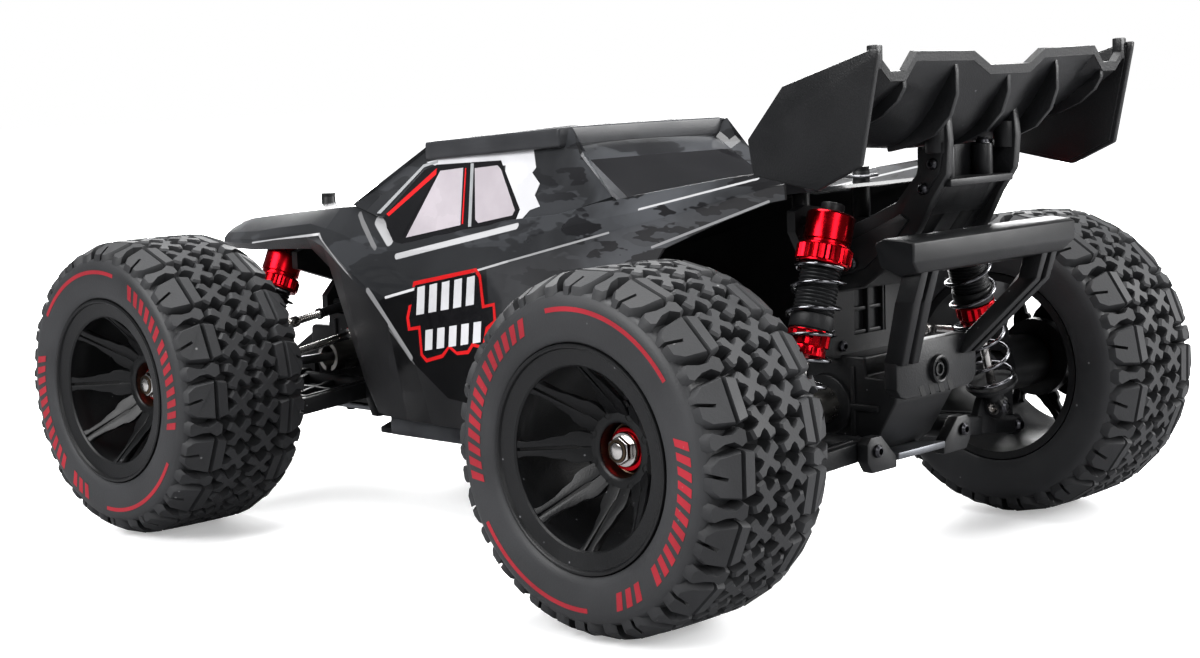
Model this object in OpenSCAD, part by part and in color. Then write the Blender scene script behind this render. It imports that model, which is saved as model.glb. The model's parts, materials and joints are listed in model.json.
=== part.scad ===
// Off-road truck, about 1/14 scale, four wheel drive, with a lexan body and a rear wing.
// Front faces -Y, the truck's left is +X, the ground is z = 0, millimetres.

/* [Overall] */
// Width over the tyres
width_all = 246; // [242:1:250]
// Distance between the front and rear axles
wheelbase = 220; // [216:1:224]
// Length from the front bumper to the wing's trailing edge
length_all = 350; // [346:1:354]
// Height of the chassis plate's underside
clearance_z = 27; // [25:0.5:27]

/* [Wheels] */
// Outer radius of the tyres
tyre_r = 49.8; // [49:0.1:50.5]
// Width of each tyre
tyre_w = 50; // [48:1:52]
// Radius of the rim's outer lip
lip_r = 31; // [30.5:0.1:32]
// Thickness of the tyre's wall
tyre_wall = 3.2; // [2.5:0.1:4]
// Number of windows between the spokes
spokes = 8; // [8:1:12]
// Width across the flats of the drive hex
hex_af = 12; // [11:0.5:12]

/* [Suspension] */
// Distance of the inner lower hinge pins from the centre line
pin_in_x = 22; // [21.5:0.5:22.5]
// Height of the inner lower hinge pins
pin_in_z = 39; // [38.5:0.5:39.5]
// Distance of the outer lower hinge pins from the centre line
pin_out_x = 76; // [75.5:0.5:76.5]
// Height of the outer lower hinge pins
pin_out_z = 31; // [30.5:0.5:31.5]
// Radius of the hinge pins
pin_r = 1.5; // [1.3:0.1:1.6]
// Radial clearance of a running fit
fit = 0.05; // [0.03:0.01:0.09]
// Distance of the kingpins from the centre line
kingpin_x = 84; // [83.5:0.5:84.5]
// Length of the steering arms
steer_arm = 19; // [18.5:0.5:19.5]

/* [Shocks] */
// Top eye of the front shocks: distance from the centre line and height
front_eye = [33, 86];
// Top eye of the rear shocks: distance from the centre line and height
rear_eye = [31, 106];
// Bottom eye of all four shocks: distance from the centre line and height
low_eye = [53.5, 41];
// Distance of the shocks beyond the axle line
shock_y = 15; // [15:0.5:16]
// Radius of the shock caps
cap_r = 6.9; // [6:0.1:7]
// Radius of the coil springs' centre line
coil_r = 7.2; // [7:0.1:7.3]
// Radius of the spring wire
wire_r = 0.6; // [0.5:0.05:0.65]

/* [Drivetrain] */
// Teeth of the spur gear
spur_teeth = 54; // [52:2:56]
// Teeth of the motor pinion
pinion_teeth = 16; // [15:1:17]
// Gear module
gear_module = 0.6; // [0.55:0.01:0.6]
// Radius of the motor can
motor_r = 14; // [12:0.5:14]

/* [Body] */
// Thickness of the lexan shell
shell_t = 1.2; // [1:0.1:1.5]
// Half width of the roof
roof_half = 38; // [36:1:39]
// Height of the roof's trailing edge
roof_z = 133.4; // [132:0.2:135]
// Half width of the wing over its end plates
wing_half = 65.4; // [63:0.2:67]
// Half width of the rear bumper's bar
bar_half = 42.6; // [40:0.2:44]

/* [Hidden] */
$fn = 48;
wing_tail_y = 166;
mid_y = length_all / 2 - wing_tail_y;
nose_y = wing_tail_y - length_all;
axle_z = tyre_r;
tyre_out = width_all / 2;
tyre_in = tyre_out - tyre_w;
lip_x = tyre_out - 0.6;
rim_r = lip_r - 1;
rim_inner_r = rim_r - 2;
nut_x = tyre_out - 15.7;
hub_face_x = nut_x - 3.8;
bearing_r = 5;
bore_r = 2.5 + fit;
arm_vec = [pin_out_x - pin_in_x, pin_out_z - pin_in_z];
arm_len = norm(arm_vec);
arm_drop = atan(-arm_vec[1] / arm_vec[0]);
arm_half = 19;
tip_half = 8.2;
ear_gap = 5.1;
arm_thick = 5;
lug_y = 11.7;
link_out = [pin_out_x - 2, pin_out_z + 30];
link_in = link_out - arm_vec;
link_y = -6;
eye_from_pin = low_eye - [pin_in_x, pin_in_z];
eye_u = eye_from_pin[0] * cos(arm_drop) - eye_from_pin[1] * sin(arm_drop);
eye_w = eye_from_pin[0] * sin(arm_drop) + eye_from_pin[1] * cos(arm_drop);
rack_z = axle_z + 10.2;
ball_z = rack_z + arm_vec[1];
rack_end_x = kingpin_x - arm_vec[0];
horn_len = 13.5;
horn_x = 18;
servo_y = -wheelbase / 2 + steer_arm + 3.5 + horn_len;
spur_r = spur_teeth * gear_module / 2;
pinion_r = pinion_teeth * gear_module / 2;
motor_z = clearance_z + 19;
motor_x = -sqrt(pow(spur_r + pinion_r, 2) - pow(axle_z - motor_z, 2));
mesh_angle = atan2(motor_z - axle_z, motor_x);
plate_top = clearance_z + 3;
case_top = 64;
bar_y = 161;
black = "#1b1b1d";
grey = "#3a3b3e";
steel = "#b9bcc0";
red = "#c3141c";

// ---- placing ----

module placed() translate([0, mid_y, 0]) children();

// A corner's own frame: x outwards, y away from the truck's middle, both from the axle line
module corner(side, end) {
    placed() translate([0, end * wheelbase / 2, 0])
        mirror([side < 0 ? 1 : 0, 0, 0])
            mirror([0, end < 0 ? 1 : 0, 0])
                children();
}

// The lower arm's own frame: x along the arm from its inner pin
module on_arm() translate([pin_in_x, 0, pin_in_z]) rotate([0, arm_drop, 0]) children();

function top_eye(end) = end < 0 ? front_eye : rear_eye;
function shock_len(end) = norm(low_eye - top_eye(end));
function lean(end) = atan2(low_eye[0] - top_eye(end)[0], top_eye(end)[1] - low_eye[1]);

// A shock's own frame: z runs down the shock from its top eye
module on_shock(end) {
    translate([top_eye(end)[0], shock_y, top_eye(end)[1]])
        rotate([0, -lean(end), 0])
            mirror([0, 0, 1])
                children();
}

// ---- shapes ----

module rod_x(r, x0, x1) translate([x0, 0, 0]) rotate([0, 90, 0]) cylinder(r = r, h = x1 - x0);
module rod_y(r, y0, y1) translate([0, y0, 0]) rotate([-90, 0, 0]) cylinder(r = r, h = y1 - y0);
module rod_z(r, z0, z1) translate([0, 0, z0]) cylinder(r = r, h = z1 - z0);
module box(low, high) translate(low) cube(high - low);

// A flat plate with its outline in x and z, between y0 and y1
module plate_xz(points, y0, y1) {
    translate([0, y1, 0]) rotate([90, 0, 0]) linear_extrude(y1 - y0) polygon(points);
}

// A flat plate with its outline in y and z, between x0 and x1
module plate_yz(points, x0, x1) {
    translate([x0, 0, 0]) rotate([90, 0, 90]) linear_extrude(x1 - x0) polygon(points);
}

// A turned shape about the X axis from points of [x, radius]
module turned_x(points) {
    rotate([0, 90, 0]) rotate_extrude() polygon([for (p = points) [p[1], p[0]]]);
}

// A solid through a list of equally long rings of points
module loft(rings) {
    n = len(rings[0]);
    last = (len(rings) - 1) * n;
    walls = [for (i = [0 : len(rings) - 2], j = [0 : n - 1])
        let (k = (j + 1) % n, a = i * n, b = a + n)
        each [[a + j, b + k, b + j], [a + j, a + k, b + k]]];
    ends = [for (j = [1 : n - 2]) each [[0, j + 1, j], [last, last + j, last + j + 1]]];
    polyhedron([for (r = rings, p = r) p], concat(walls, ends));
}

function with_mirror(points) = concat(points, [for (i = [len(points) - 1 : -1 : 0]) [-points[i][0], points[i][1]]]);

// ---- suspension ----

function arm_outline() = [
    [-3, -arm_half], [4, -arm_half], [arm_len - 14, -tip_half], [arm_len + 1, -tip_half],
    [arm_len + 1, tip_half], [arm_len - 14, tip_half], [4, arm_half], [-3, arm_half]
];

module arm_window() polygon([[7, 2.2], [7, 13.8], [31, 6.4], [31, 2.2]]);

module lower_arm(side, end) {
    color(black) corner(side, end) on_arm() {
        difference() {
            union() {
                translate([0, 0, -arm_thick / 2]) linear_extrude(arm_thick) polygon(arm_outline());
                rod_y(3.4, -arm_half, arm_half);
                translate([arm_len, 0, 0]) rod_y(3.4, -tip_half, tip_half);
                box([eye_u - 4, 9, -arm_thick / 2], [eye_u + 4, lug_y, eye_w]);
                translate([eye_u, 0, eye_w]) rod_y(4, 9, lug_y);
                translate([eye_u, 0, eye_w]) rod_y(pin_r, lug_y - 1, 18);
            }
            rod_y(pin_r + fit, -arm_half - 1, arm_half + 1);
            translate([arm_len, 0, 0]) rod_y(pin_r + fit, -tip_half - 1, tip_half + 1);
            box([arm_len - 6, -ear_gap, -8], [arm_len + 8, ear_gap, 8]);
            for (m = [0, 1]) mirror([0, m, 0])
                translate([0, 0, -4]) linear_extrude(8) arm_window();
        }
        rod_y(pin_r, -arm_half - 4, arm_half + 4);
        translate([arm_len, 0, 0]) rod_y(pin_r, -tip_half - 0.6, tip_half + 0.6);
    }
}

// The lug on the lower outer hinge pin, up to the hub's frame
module hub_lug(top) {
    translate([pin_out_x, 0, pin_out_z]) rod_y(3.4, -4.8, 4.8);
    box([pin_out_x - 3.2, -4.8, pin_out_z], [pin_out_x + 2.8, 4.8, top]);
}

module link_pin() translate([link_out[0], 0, link_out[1]]) rod_y(pin_r, link_y - 2.6, 4);

module c_hub(side) {
    color(black) corner(side, -1) {
        difference() {
            union() {
                box([71.5, -9, axle_z - 13.6], [75.4, 9, axle_z + 13.6]);
                box([71.5, -5, axle_z + 10.4], [kingpin_x + 4, 5, axle_z + 13.6]);
                box([71.5, -5, axle_z - 13.6], [kingpin_x + 4, 5, axle_z - 10.4]);
                hub_lug(axle_z - 13);
                translate([link_out[0], 0, link_out[1]]) rod_y(3.4, -2.4, 4.6);
            }
            box([68, -10, link_out[1] - 5], [79.5, -2.5, link_out[1] + 6]);
            translate([0, 0, axle_z]) rod_x(7.4, 70, 77);
            translate([pin_out_x, 0, pin_out_z]) rod_y(pin_r + fit, -6, 6);
            translate([kingpin_x, 0, 0]) rod_z(1.8, axle_z - 15, axle_z + 15);
        }
        link_pin();
        translate([kingpin_x, 0, axle_z]) {
            rod_z(1.75, 7.1, 15.4);
            rod_z(1.75, -15.4, -7.1);
        }
    }
}

module bearing(x0) {
    difference() {
        rod_x(bearing_r, x0, x0 + 3);
        rod_x(bore_r, x0 - 1, x0 + 4);
    }
}

module bearings(x0) {
    bearing(x0);
    bearing(x0 + 3.6);
}

module knuckle(side) {
    color(grey) corner(side, -1) {
        difference() {
            union() {
                translate([0, 0, axle_z]) rod_x(9.5, 80, 95);
                translate([kingpin_x, 0, axle_z]) rod_z(4, -9.9, 9.9);
                box([81, -steer_arm, axle_z - 5.4], [87, -6, axle_z - 1.9]);
                translate([kingpin_x, -steer_arm, 0]) rod_z(3, axle_z - 5.4, axle_z - 1.9);
                translate([kingpin_x, -steer_arm, 0]) rod_z(1.3, axle_z - 4, ball_z);
                translate([kingpin_x, -steer_arm, ball_z]) sphere(r = 2.4);
            }
            translate([0, 0, axle_z]) rod_x(6.8, 79, 88);
            translate([0, 0, axle_z]) rod_x(bearing_r + fit, 87, 96);
            translate([kingpin_x, 0, axle_z]) rod_z(1.8, -12, 12);
        }
        translate([0, 0, axle_z]) bearings(88.2);
    }
}

module rear_hub(side) {
    color(black) corner(side, 1) {
        difference() {
            union() {
                translate([0, 0, axle_z]) rod_x(9, 74, 95);
                hub_lug(axle_z - 7);
                box([link_out[0] - 3, -2.4, axle_z + 6], [link_out[0] + 3, 4.6, link_out[1]]);
                translate([link_out[0], 0, link_out[1]]) rod_y(3.2, -2.4, 4.6);
            }
            box([70, -10, link_out[1] - 4.2], [78.2, -3, link_out[1] + 5]);
            translate([0, 0, axle_z]) rod_x(6.3, 70, 86);
            translate([0, 0, axle_z]) rod_x(bearing_r + fit, 85, 96);
            translate([pin_out_x, 0, pin_out_z]) rod_y(pin_r + fit, -6, 6);
        }
        link_pin();
        translate([0, 0, axle_z]) bearings(86.6);
    }
}

module upper_link(side, end) {
    color(steel) corner(side, end)
        translate([link_in[0], link_y, link_in[1]]) rotate([0, arm_drop, 0])
            difference() {
                union() {
                    rod_x(1.8, 2, arm_len - 2);
                    rod_y(3.3, -2.3, 2.3);
                    translate([arm_len, 0, 0]) rod_y(3.3, -2.3, 2.3);
                }
                rod_y(pin_r + fit, -4, 4);
                translate([arm_len, 0, 0]) rod_y(pin_r + fit, -4, 4);
            }
}

// ---- shocks ----

// Distances from the top eye to the ends of the cap, the knurled collar, the threaded body, the lower
// cap's wide step and the lower cap
function shock_steps(end) = end < 0 ? [10.5, 14.5, 23.5, 27.5, 31] : [12, 18, 32, 36.5, 40.2];
function perch_at(end) = shock_len(end) - 8.6;

module shock_body(side, end) {
    s = shock_steps(end);
    color(red) corner(side, end) on_shock(end)
        difference() {
            union() {
                rod_y(4, -2.4, 2.4);
                rod_z(3.6, 1, 4);
                rod_z(cap_r, 3.2, s[0]);
                rod_z(8.2, s[0], s[1]);
                rod_z(6, s[1], s[2]);
                rod_z(6.3, s[2], s[3]);
                rod_z(5.4, s[3], s[4]);
            }
            rod_y(pin_r + fit, -4, 4);
            rod_z(3.9, 8, s[4] - 1.5);
            rod_z(pin_r + fit, s[4] - 3, s[4] + 1);
        }
}

// Share of the shock's length at which the piston sits
piston_at = 0.42;

module shock_rod(side, end) {
    len = shock_len(end);
    color(steel) corner(side, end) on_shock(end)
        difference() {
            union() {
                rod_z(pin_r, len * piston_at, len - 3);
                rod_z(3.8, len * piston_at, len * piston_at + 3);
                rod_z(8.2, perch_at(end), perch_at(end) + 2.2);
                rod_z(3, perch_at(end) + 2, len - 2.8);
                translate([0, 0, len]) rod_y(4, -2, 2);
            }
            translate([0, 0, len]) rod_y(pin_r + 0.9, -3, 3);
        }
}

// A coil from z0 to z1 as one tube; each end turn is flat
function coil_z(t, turns, z0, z1) =
    let (flat = 0.75, k = (t - flat) / (turns - 2 * flat))
    z0 + (z1 - z0) * min(max(k, 0), 1) + 0.3 * (t < flat ? t / flat - 1 : t > turns - flat ? (t - turns) / flat + 1 : 0);

module coil(turns, z0, z1) {
    steps = 14;
    loft([for (i = [0 : steps * turns]) let (t = i / steps)
        [for (a = [0 : 60 : 300]) let (r = coil_r + wire_r * cos(a))
            [r * cos(360 * t), r * sin(360 * t), coil_z(t, turns, z0, z1) + wire_r * sin(a)]]]);
}

module shock_springs() {
    color("#2b2b2e") for (end = [-1, 1], side = [-1, 1])
        corner(side, end) on_shock(end)
            coil(end < 0 ? 5 : 7, shock_steps(end)[1] + wire_r + 0.5, perch_at(end) - wire_r - 0.5);
}

// ---- wheels and axles ----

function joint_x(end) = end < 0 ? kingpin_x - 1.8 : pin_out_x;

module pin_slot(x0, x1, width) translate([x0, -width / 2, -8]) cube([x1 - x0, width, 16]);

module drive_shaft(side, end) {
    color(steel) corner(side, end) translate([0, 0, axle_z]) {
        rod_x(1.6, pin_in_x, joint_x(end));
        translate([pin_in_x, 0, 0]) sphere(r = 2.5);
        translate([pin_in_x, 0, 0]) rod_z(1, -4.6, 4.6);
        translate([joint_x(end), 0, 0]) sphere(r = end < 0 ? 2.2 : 2.5);
        if (end > 0) translate([joint_x(end), 0, 0]) rod_z(1, -4.6, 4.6);
    }
}

module axle_cup(end) {
    difference() {
        if (end < 0) rod_x(6.3, 78.5, 87.8);
        else rod_x(5.5, 70, 86);
        if (end < 0) rod_x(5, 78, 86.6);
        else rod_x(4, 69, 84.6);
        if (end > 0) pin_slot(69, 82, 3.4);
    }
}

module wheel_nut() {
    difference() {
        union() {
            rod_x(5, hub_face_x + 0.1, hub_face_x + 1.2);
            translate([hub_face_x + 1, 0, 0]) rotate([0, 90, 0]) cylinder(r = 4, h = 1.9, $fn = 6);
        }
        rod_x(bore_r, hub_face_x - 1, nut_x + 1);
    }
}

module wheel_axle(side, end) {
    color(steel) corner(side, end) translate([0, 0, axle_z]) {
        axle_cup(end);
        rod_x(2.5, end < 0 ? 87 : 85, nut_x);
        difference() {
            translate([95.8, 0, 0]) rotate([0, 90, 0]) cylinder(r = hex_af / 2 / cos(30), h = 4.8, $fn = 6);
            rod_x(bore_r, 95, 102);
            translate([98.3, 0, 0]) rod_z(1.05, -5.3, 5.3);
        }
        translate([98.3, 0, 0]) rod_z(1, -5.2, 5.2);
        wheel_nut();
    }
}

// Half section of the rim, as points of [x, radius]
function rim_section() = [
    [tyre_in + 1.4, rim_inner_r], [tyre_in + 1.4, rim_r + 1], [tyre_in + 3.4, rim_r + 1], [tyre_in + 4.4, rim_r],
    [lip_x - 4, rim_r], [lip_x - 2.2, lip_r], [lip_x, lip_r], [lip_x, rim_inner_r + 0.6],
    [lip_x - 3, rim_inner_r], [lip_x - 6, rim_inner_r - 1], [hub_face_x + 3, 11], [hub_face_x, 8.6],
    [hub_face_x, 2.7], [hub_face_x - 2.8, 2.7], [hub_face_x - 2.8, 7.6], [97.2, 7.6], [97.2, 9.4],
    [hub_face_x - 2, 12], [lip_x - 9, rim_inner_r]
];

module rim_window() polygon([[12.5, -1.6], [12.5, 1.6], [24.5, 5.6], [25.6, 2.4], [25.6, -2.4], [24.5, -5.6]]);

module rim(side, end) {
    color(black) corner(side, end) translate([0, 0, axle_z])
        difference() {
            turned_x(rim_section());
            for (i = [0 : spokes - 1])
                rotate([i * 360 / spokes, 0, 0])
                    translate([98, 0, 0]) rotate([90, 0, 90]) linear_extrude(22) rim_window();
        }
}

// Half section of the tyre's outer face, as points of [x, radius]
function tyre_outer() = [
    [tyre_out - 1.8, lip_r + 0.1], [tyre_out - 0.2, lip_r + 4], [tyre_out, tyre_r - 9], [tyre_out - 0.6, tyre_r - 5],
    [tyre_out - 3.5, tyre_r - 1.2], [tyre_out - 7, tyre_r], [tyre_in + 7, tyre_r], [tyre_in + 3.5, tyre_r - 1.2],
    [tyre_in + 0.6, tyre_r - 5], [tyre_in, tyre_r - 9], [tyre_in + 0.6, lip_r + 4], [tyre_in + 4.6, rim_r + 0.1]
];

function tyre_inner() = [
    [tyre_in + 8, rim_r + 0.1], [tyre_in + tyre_wall, lip_r + 5], [tyre_in + tyre_wall, tyre_r - 9],
    [tyre_in + 7, tyre_r - 5.5], [tyre_out - 7, tyre_r - 5.5], [tyre_out - tyre_wall, tyre_r - 9],
    [tyre_out - tyre_wall, lip_r + 5], [lip_x - 6, rim_r + 0.1], [lip_x - 4, rim_r + 0.1], [lip_x - 2.2, lip_r + 0.1]
];

module tyre(side, end) {
    color("#232324") corner(side, end) translate([0, 0, axle_z])
        turned_x(concat(tyre_outer(), tyre_inner()));
}

// ---- drivetrain ----

module outdrive() {
    difference() {
        union() {
            rod_x(3, 6, 16);
            rod_x(5.5, 15, 27);
        }
        rod_x(4, 16.6, 28);
        pin_slot(17.4, 28, 3);
    }
}

module diff(end) {
    color(steel) placed() translate([0, end * wheelbase / 2, axle_z]) {
        rod_x(6.2, -9, 9);
        mirror([end > 0 ? 1 : 0, 0, 0]) rod_x(11, 3.8, 7);
        outdrive();
        mirror([1, 0, 0]) outdrive();
    }
}

// Teeth of a gear as points of [x, z], the first tooth towards the angle start
function gear_outline(teeth, start) =
    let (r = teeth * gear_module / 2, pitch = 360 / teeth)
    [for (i = [0 : teeth - 1], k = [[-0.3, -1.15], [-0.13, 0.8], [0.13, 0.8], [0.3, -1.15]])
        let (a = start + (i + k[0]) * pitch, d = r + k[1] * gear_module)
        [d * cos(a), d * sin(a)]];

module center_shaft() {
    reach = wheelbase / 2 - 7;
    color(steel) placed() translate([0, 0, axle_z]) {
        rod_y(2.5, -reach, reach);
        rod_y(3.2, -reach, -reach + 4);
        rod_y(3.2, reach - 4, reach);
        plate_xz(gear_outline(spur_teeth, mesh_angle), -15, -9);
        rod_y(6, -9.5, -4);
    }
}

module motor_pinion() {
    color(steel) placed() translate([motor_x, 0, motor_z]) {
        plate_xz(gear_outline(pinion_teeth, mesh_angle + 180 + 180 / pinion_teeth), -15.5, -8.5);
        rod_y(1.6, -16, 20);
    }
}

module motor() {
    color(grey) placed() translate([motor_x, 0, motor_z])
        difference() {
            union() {
                rod_y(motor_r, -2, 40);
                rod_y(5, 39, 43);
                rod_y(6, -4, -1);
                box([-motor_r, -5.5, plate_top + 0.1 - motor_z], [12, -2.4, 10]);
            }
            rod_y(1.6 + fit, -7, 21);
        }
}

// ---- steering ----

module steering_rack() {
    reach = rack_end_x + 2;
    y0 = -wheelbase / 2 + steer_arm + 2;
    color(grey) placed() {
        difference() {
            box([-reach, y0, rack_z - 2.4], [reach, y0 + 3, rack_z + 2.4]);
            box([horn_x - 1.6, y0 + 0.4, rack_z - 3], [horn_x + 1.6, y0 + 4, rack_z + 3]);
        }
        for (s = [-1, 1]) translate([s * rack_end_x, 0, rack_z]) rod_y(1.2, y0 - 3.6, y0 + 1);
    }
}

module servo_horn() {
    color("#ececec") placed() translate([horn_x, servo_y, 0]) {
        rod_z(4, rack_z + 3.4, rack_z + 7);
        rod_z(2.4, rack_z - 5, rack_z + 4);
        box([-2.2, -horn_len, rack_z + 3.4], [2.2, 0, rack_z + 5.6]);
        translate([0, -horn_len, 0]) rod_z(2.2, rack_z + 3.4, rack_z + 5.6);
        translate([0, -horn_len, 0]) rod_z(1.1, rack_z - 2, rack_z + 4);
    }
}

module tie_rod(side) {
    color(steel) corner(side, -1)
        translate([rack_end_x, -steer_arm, rack_z]) rotate([0, arm_drop, 0])
            difference() {
                union() {
                    rod_x(1.4, 2, arm_len - 4.6);
                    rod_y(2.8, -1.4, 1.4);
                    translate([arm_len, 0, 0]) rod_y(5.8, -1.2, 1.2);
                }
                rod_y(1.2 + fit, -3, 3);
                translate([arm_len, 0, 0]) rod_y(4.4, -3, 3);
                box([arm_len - 6.5, -3, -8], [arm_len + 6.5, 3, -2]);
            }
}

module steering_servo() {
    color("#26262a") placed() translate([horn_x, servo_y, 0])
        difference() {
            union() {
                box([-8, -7, plate_top + 0.2], [8, 22, 52]);
                box([-8, -11, 44], [8, 26, 46.5]);
                rod_z(5, 51, rack_z - 4);
            }
            rod_z(2.4 + fit, rack_z - 6, rack_z);
        }
}

// ---- chassis ----

function chassis_outline() = let (half = wheelbase / 2) with_mirror([
    [13, -half - 25], [13, -half + 26], [18, -half + 30], [41, -half + 44],
    [41, half - 44], [18, half - 30], [13, half - 26], [13, half + 25]
]);

module pin_block(y0) {
    difference() {
        union() {
            box([17, y0, clearance_z], [27, y0 + 4, 43.4]);
            box([10, y0, clearance_z], [27, y0 + 4, plate_top]);
        }
        translate([pin_in_x, 0, pin_in_z]) rod_y(pin_r + fit, y0 - 1, y0 + 5);
    }
}

module chassis_plate() {
    color(grey) {
        placed() {
            translate([0, 0, clearance_z]) linear_extrude(3) polygon(chassis_outline());
            for (s = [-1, 1]) box([s > 0 ? 39 : -41, -62, clearance_z], [s > 0 ? 41 : -39, 62, clearance_z + 8]);
        }
        for (side = [-1, 1], end = [-1, 1]) corner(side, end) {
            pin_block(arm_half + 0.5);
            pin_block(-arm_half - 4.5);
        }
    }
}

module gearbox_case(end) {
    corner(1, end)
        difference() {
            union() {
                box([-14.5, -13, plate_top + 0.05], [14.5, 25, case_top]);
                if (end < 0) for (x = [-8.6, 6]) box([x, -25, rack_z - 5], [x + 2.6, -12, rack_z + 5]);
            }
            box([-10.5, -11.6, axle_z - 11.8], [10.5, 12, axle_z + 11.8]);
            translate([0, 0, axle_z]) rod_x(3 + fit, -16, 16);
            translate([0, 0, axle_z]) rod_y(2.5 + fit, -14, -10);
            if (end < 0) box([-12, -24.3, rack_z - 2.5], [12, -20.7, rack_z + 2.5]);
            box([-16, 14.5, case_top - 6], [16, 26, case_top + 1]);
        }
}

module gearbox_cases() color(black) for (end = [-1, 1]) gearbox_case(end);

function tower_outline(end) = let (e = top_eye(end), z = e[1]) with_mirror([
    [12, case_top + 0.1], [16, case_top + 0.1], [24, link_in[1] - 3], [24, link_in[1] + 3], [19, link_in[1] + 8],
    [e[0] + 4, z - 3], [e[0] + 4, z + 3], [e[0] - 1, z + 4.5], [19, z + 3], [12, z - 3]
]);

module body_post(y, base, top) {
    difference() {
        translate([0, y, 0]) rod_z(2.6, base, top);
        translate([-4, y, top - 3]) rod_x(0.9, 0, 8);
    }
}

module tower(end, post_y, post_top) {
    e = top_eye(end);
    color(black) {
        corner(1, end) {
            difference() {
                plate_xz(tower_outline(end), 2.5, 5.5);
                plate_xz([[-8, case_top + 6], [8, case_top + 6], [8, e[1] - 9], [-8, e[1] - 9]], 0, 8);
            }
            for (s = [-1, 1]) {
                translate([s * e[0], 0, e[1]]) rod_y(pin_r, 5, shock_y + 3.4);
                translate([s * link_in[0], 0, link_in[1]]) rod_y(pin_r, link_y - 2.8, 3);
            }
        }
        for (s = [-1, 1]) corner(1, end) translate([s * 15, 0, 0]) {
            body_post(post_y, e[1] - 6, post_top);
            box([-3, min(post_y, 3), e[1] - 6], [3, max(post_y, 4), e[1] - 2.5]);
        }
    }
}

module battery() color("#1f3a5f") placed() box([18, -38, plate_top + 0.3], [38.4, 38, 50]);

module esc_receiver() {
    color("#202024") placed() {
        box([-38, -62, plate_top + 0.3], [-8, -26, 46]);
        for (i = [0 : 5]) box([-34 + i * 4, -58, 45.9], [-32.4 + i * 4, -34, 50]);
    }
}

// ---- bumpers and wing ----

module rear_bumper() {
    color(grey) placed() {
        difference() {
            union() {
                plate_xz(with_mirror([[17, 53.6], [20.3, 56], [20.3, 66], [14, 70]]), 135.1, 139.6);
                translate([0, 0, 60.8]) rod_y(4.2, 138, 141.2);
            }
            translate([0, 0, 60.8]) rod_y(2, 134, 142);
            for (i = [0 : 3]) box([-9 + i * 5, 137.6, 53], [-6.4 + i * 5, 142, 55.6]);
        }
        for (s = [0, 1]) mirror([s, 0, 0]) strut();
        plate_yz([[148.8, 94.5], [148.8, 101.5], [152, 103], [bar_y - 2, 102.6], [bar_y, 101.9], [bar_y, 96.5],
            [bar_y - 1.2, 93.3], [152, 91.5]], -bar_half, bar_half);
    }
}

// One leg of the rear bumper, from the bottom plate up to the bar
module strut() {
    hull() {
        box([11, 135.2, 64], [20, 139.4, 68]);
        box([26, 150, 84], [33.5, 158, 88]);
    }
    hull() {
        box([26, 150, 84], [33.5, 158, 88]);
        box([26.5, 151, 92], [34.5, 159.6, 95]);
    }
}

module front_bumper() {
    gear_end = -wheelbase / 2 - 25.1;
    front = nose_y;
    skid = with_mirror([[14, gear_end], [20, gear_end - 12], [42, gear_end - 24], [42, front + 15], [30, front]]);
    inside = with_mirror([[6, gear_end - 20], [30, gear_end - 26], [38.6, gear_end - 30], [38.6, front + 16.4],
        [28.4, front + 3]]);
    color(grey) placed() {
        difference() {
            translate([0, 0, 29]) linear_extrude(14) polygon(skid);
            translate([0, 0, 32]) linear_extrude(20) polygon(inside);
            box([-50, gear_end - 22, 32], [50, gear_end + 1, 50]);
            for (x = [-16, 0, 16]) translate([x, front + 18, 0]) rod_z(4, 20, 40);
        }
        for (x = [-12, 9.5])
            plate_yz([[gear_end, 31], [gear_end, 58], [gear_end - 12, 50], [front + 2, 42], [front + 2, 31]], x, x + 2.5);
    }
}

// The wing's blade seen from the side, leading edge first, as points of [y, z]
function blade_line() = [for (i = [0 : 10]) let (t = i / 10)
    [126 + 38 * t, 125 - 9 * sin(180 * min(t * 1.2, 1)) * (1 - t) + 25 * pow(t, 2.2)]];

module rear_wing() {
    line = blade_line();
    under = [for (i = [10 : -1 : 0]) line[i] - [-0.8, 2.2]];
    plate = [[wing_tail_y, 155], [wing_tail_y, 154], [161.1, 125.4], [146, 117.4], [125.2, 121.9], [123.9, 131.2],
        [135.7, 145.1], [164, 155]];
    color(grey) placed() {
        plate_yz(concat(line, under), -wing_half + 1, wing_half - 1);
        for (s = [0, 1]) mirror([s, 0, 0]) plate_yz(plate, wing_half - 2.2, wing_half);
        for (x = [-51, -26.5, -1.1, 24.3, 48.8])
            plate_yz(concat([for (i = [4 : 10]) line[i] + [0.6, -0.5]], [[161, 139], [152, 126]]), x, x + 2.2);
    }
}

module wing_mount() {
    side = [[115.6, 84], [115.6, 101], [128, 106], [139, 111], [146, 119], [147.6, 125.3], [152, 130.9], [156.4, 136.2],
        [156.6, 119], [151.5, 112], [146.4, 103], [137, 93.5], [126, 86]];
    color(black) placed() {
        for (x = [-18.7, 15.5]) plate_yz(side, x, x + 3.2);
        box([-16, 147.6, 115.5], [16, 155.4, 117.5]);
        plate_yz([[129, 90], [139.5, 98.6], [149, 111.6], [151.6, 115.6], [148.6, 115.6], [137.4, 101], [127.6, 92.6]], -16, 16);
        box([-24, 115.6, 84], [24, 118.2, 92]);
    }
}

// ---- body shell ----

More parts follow.
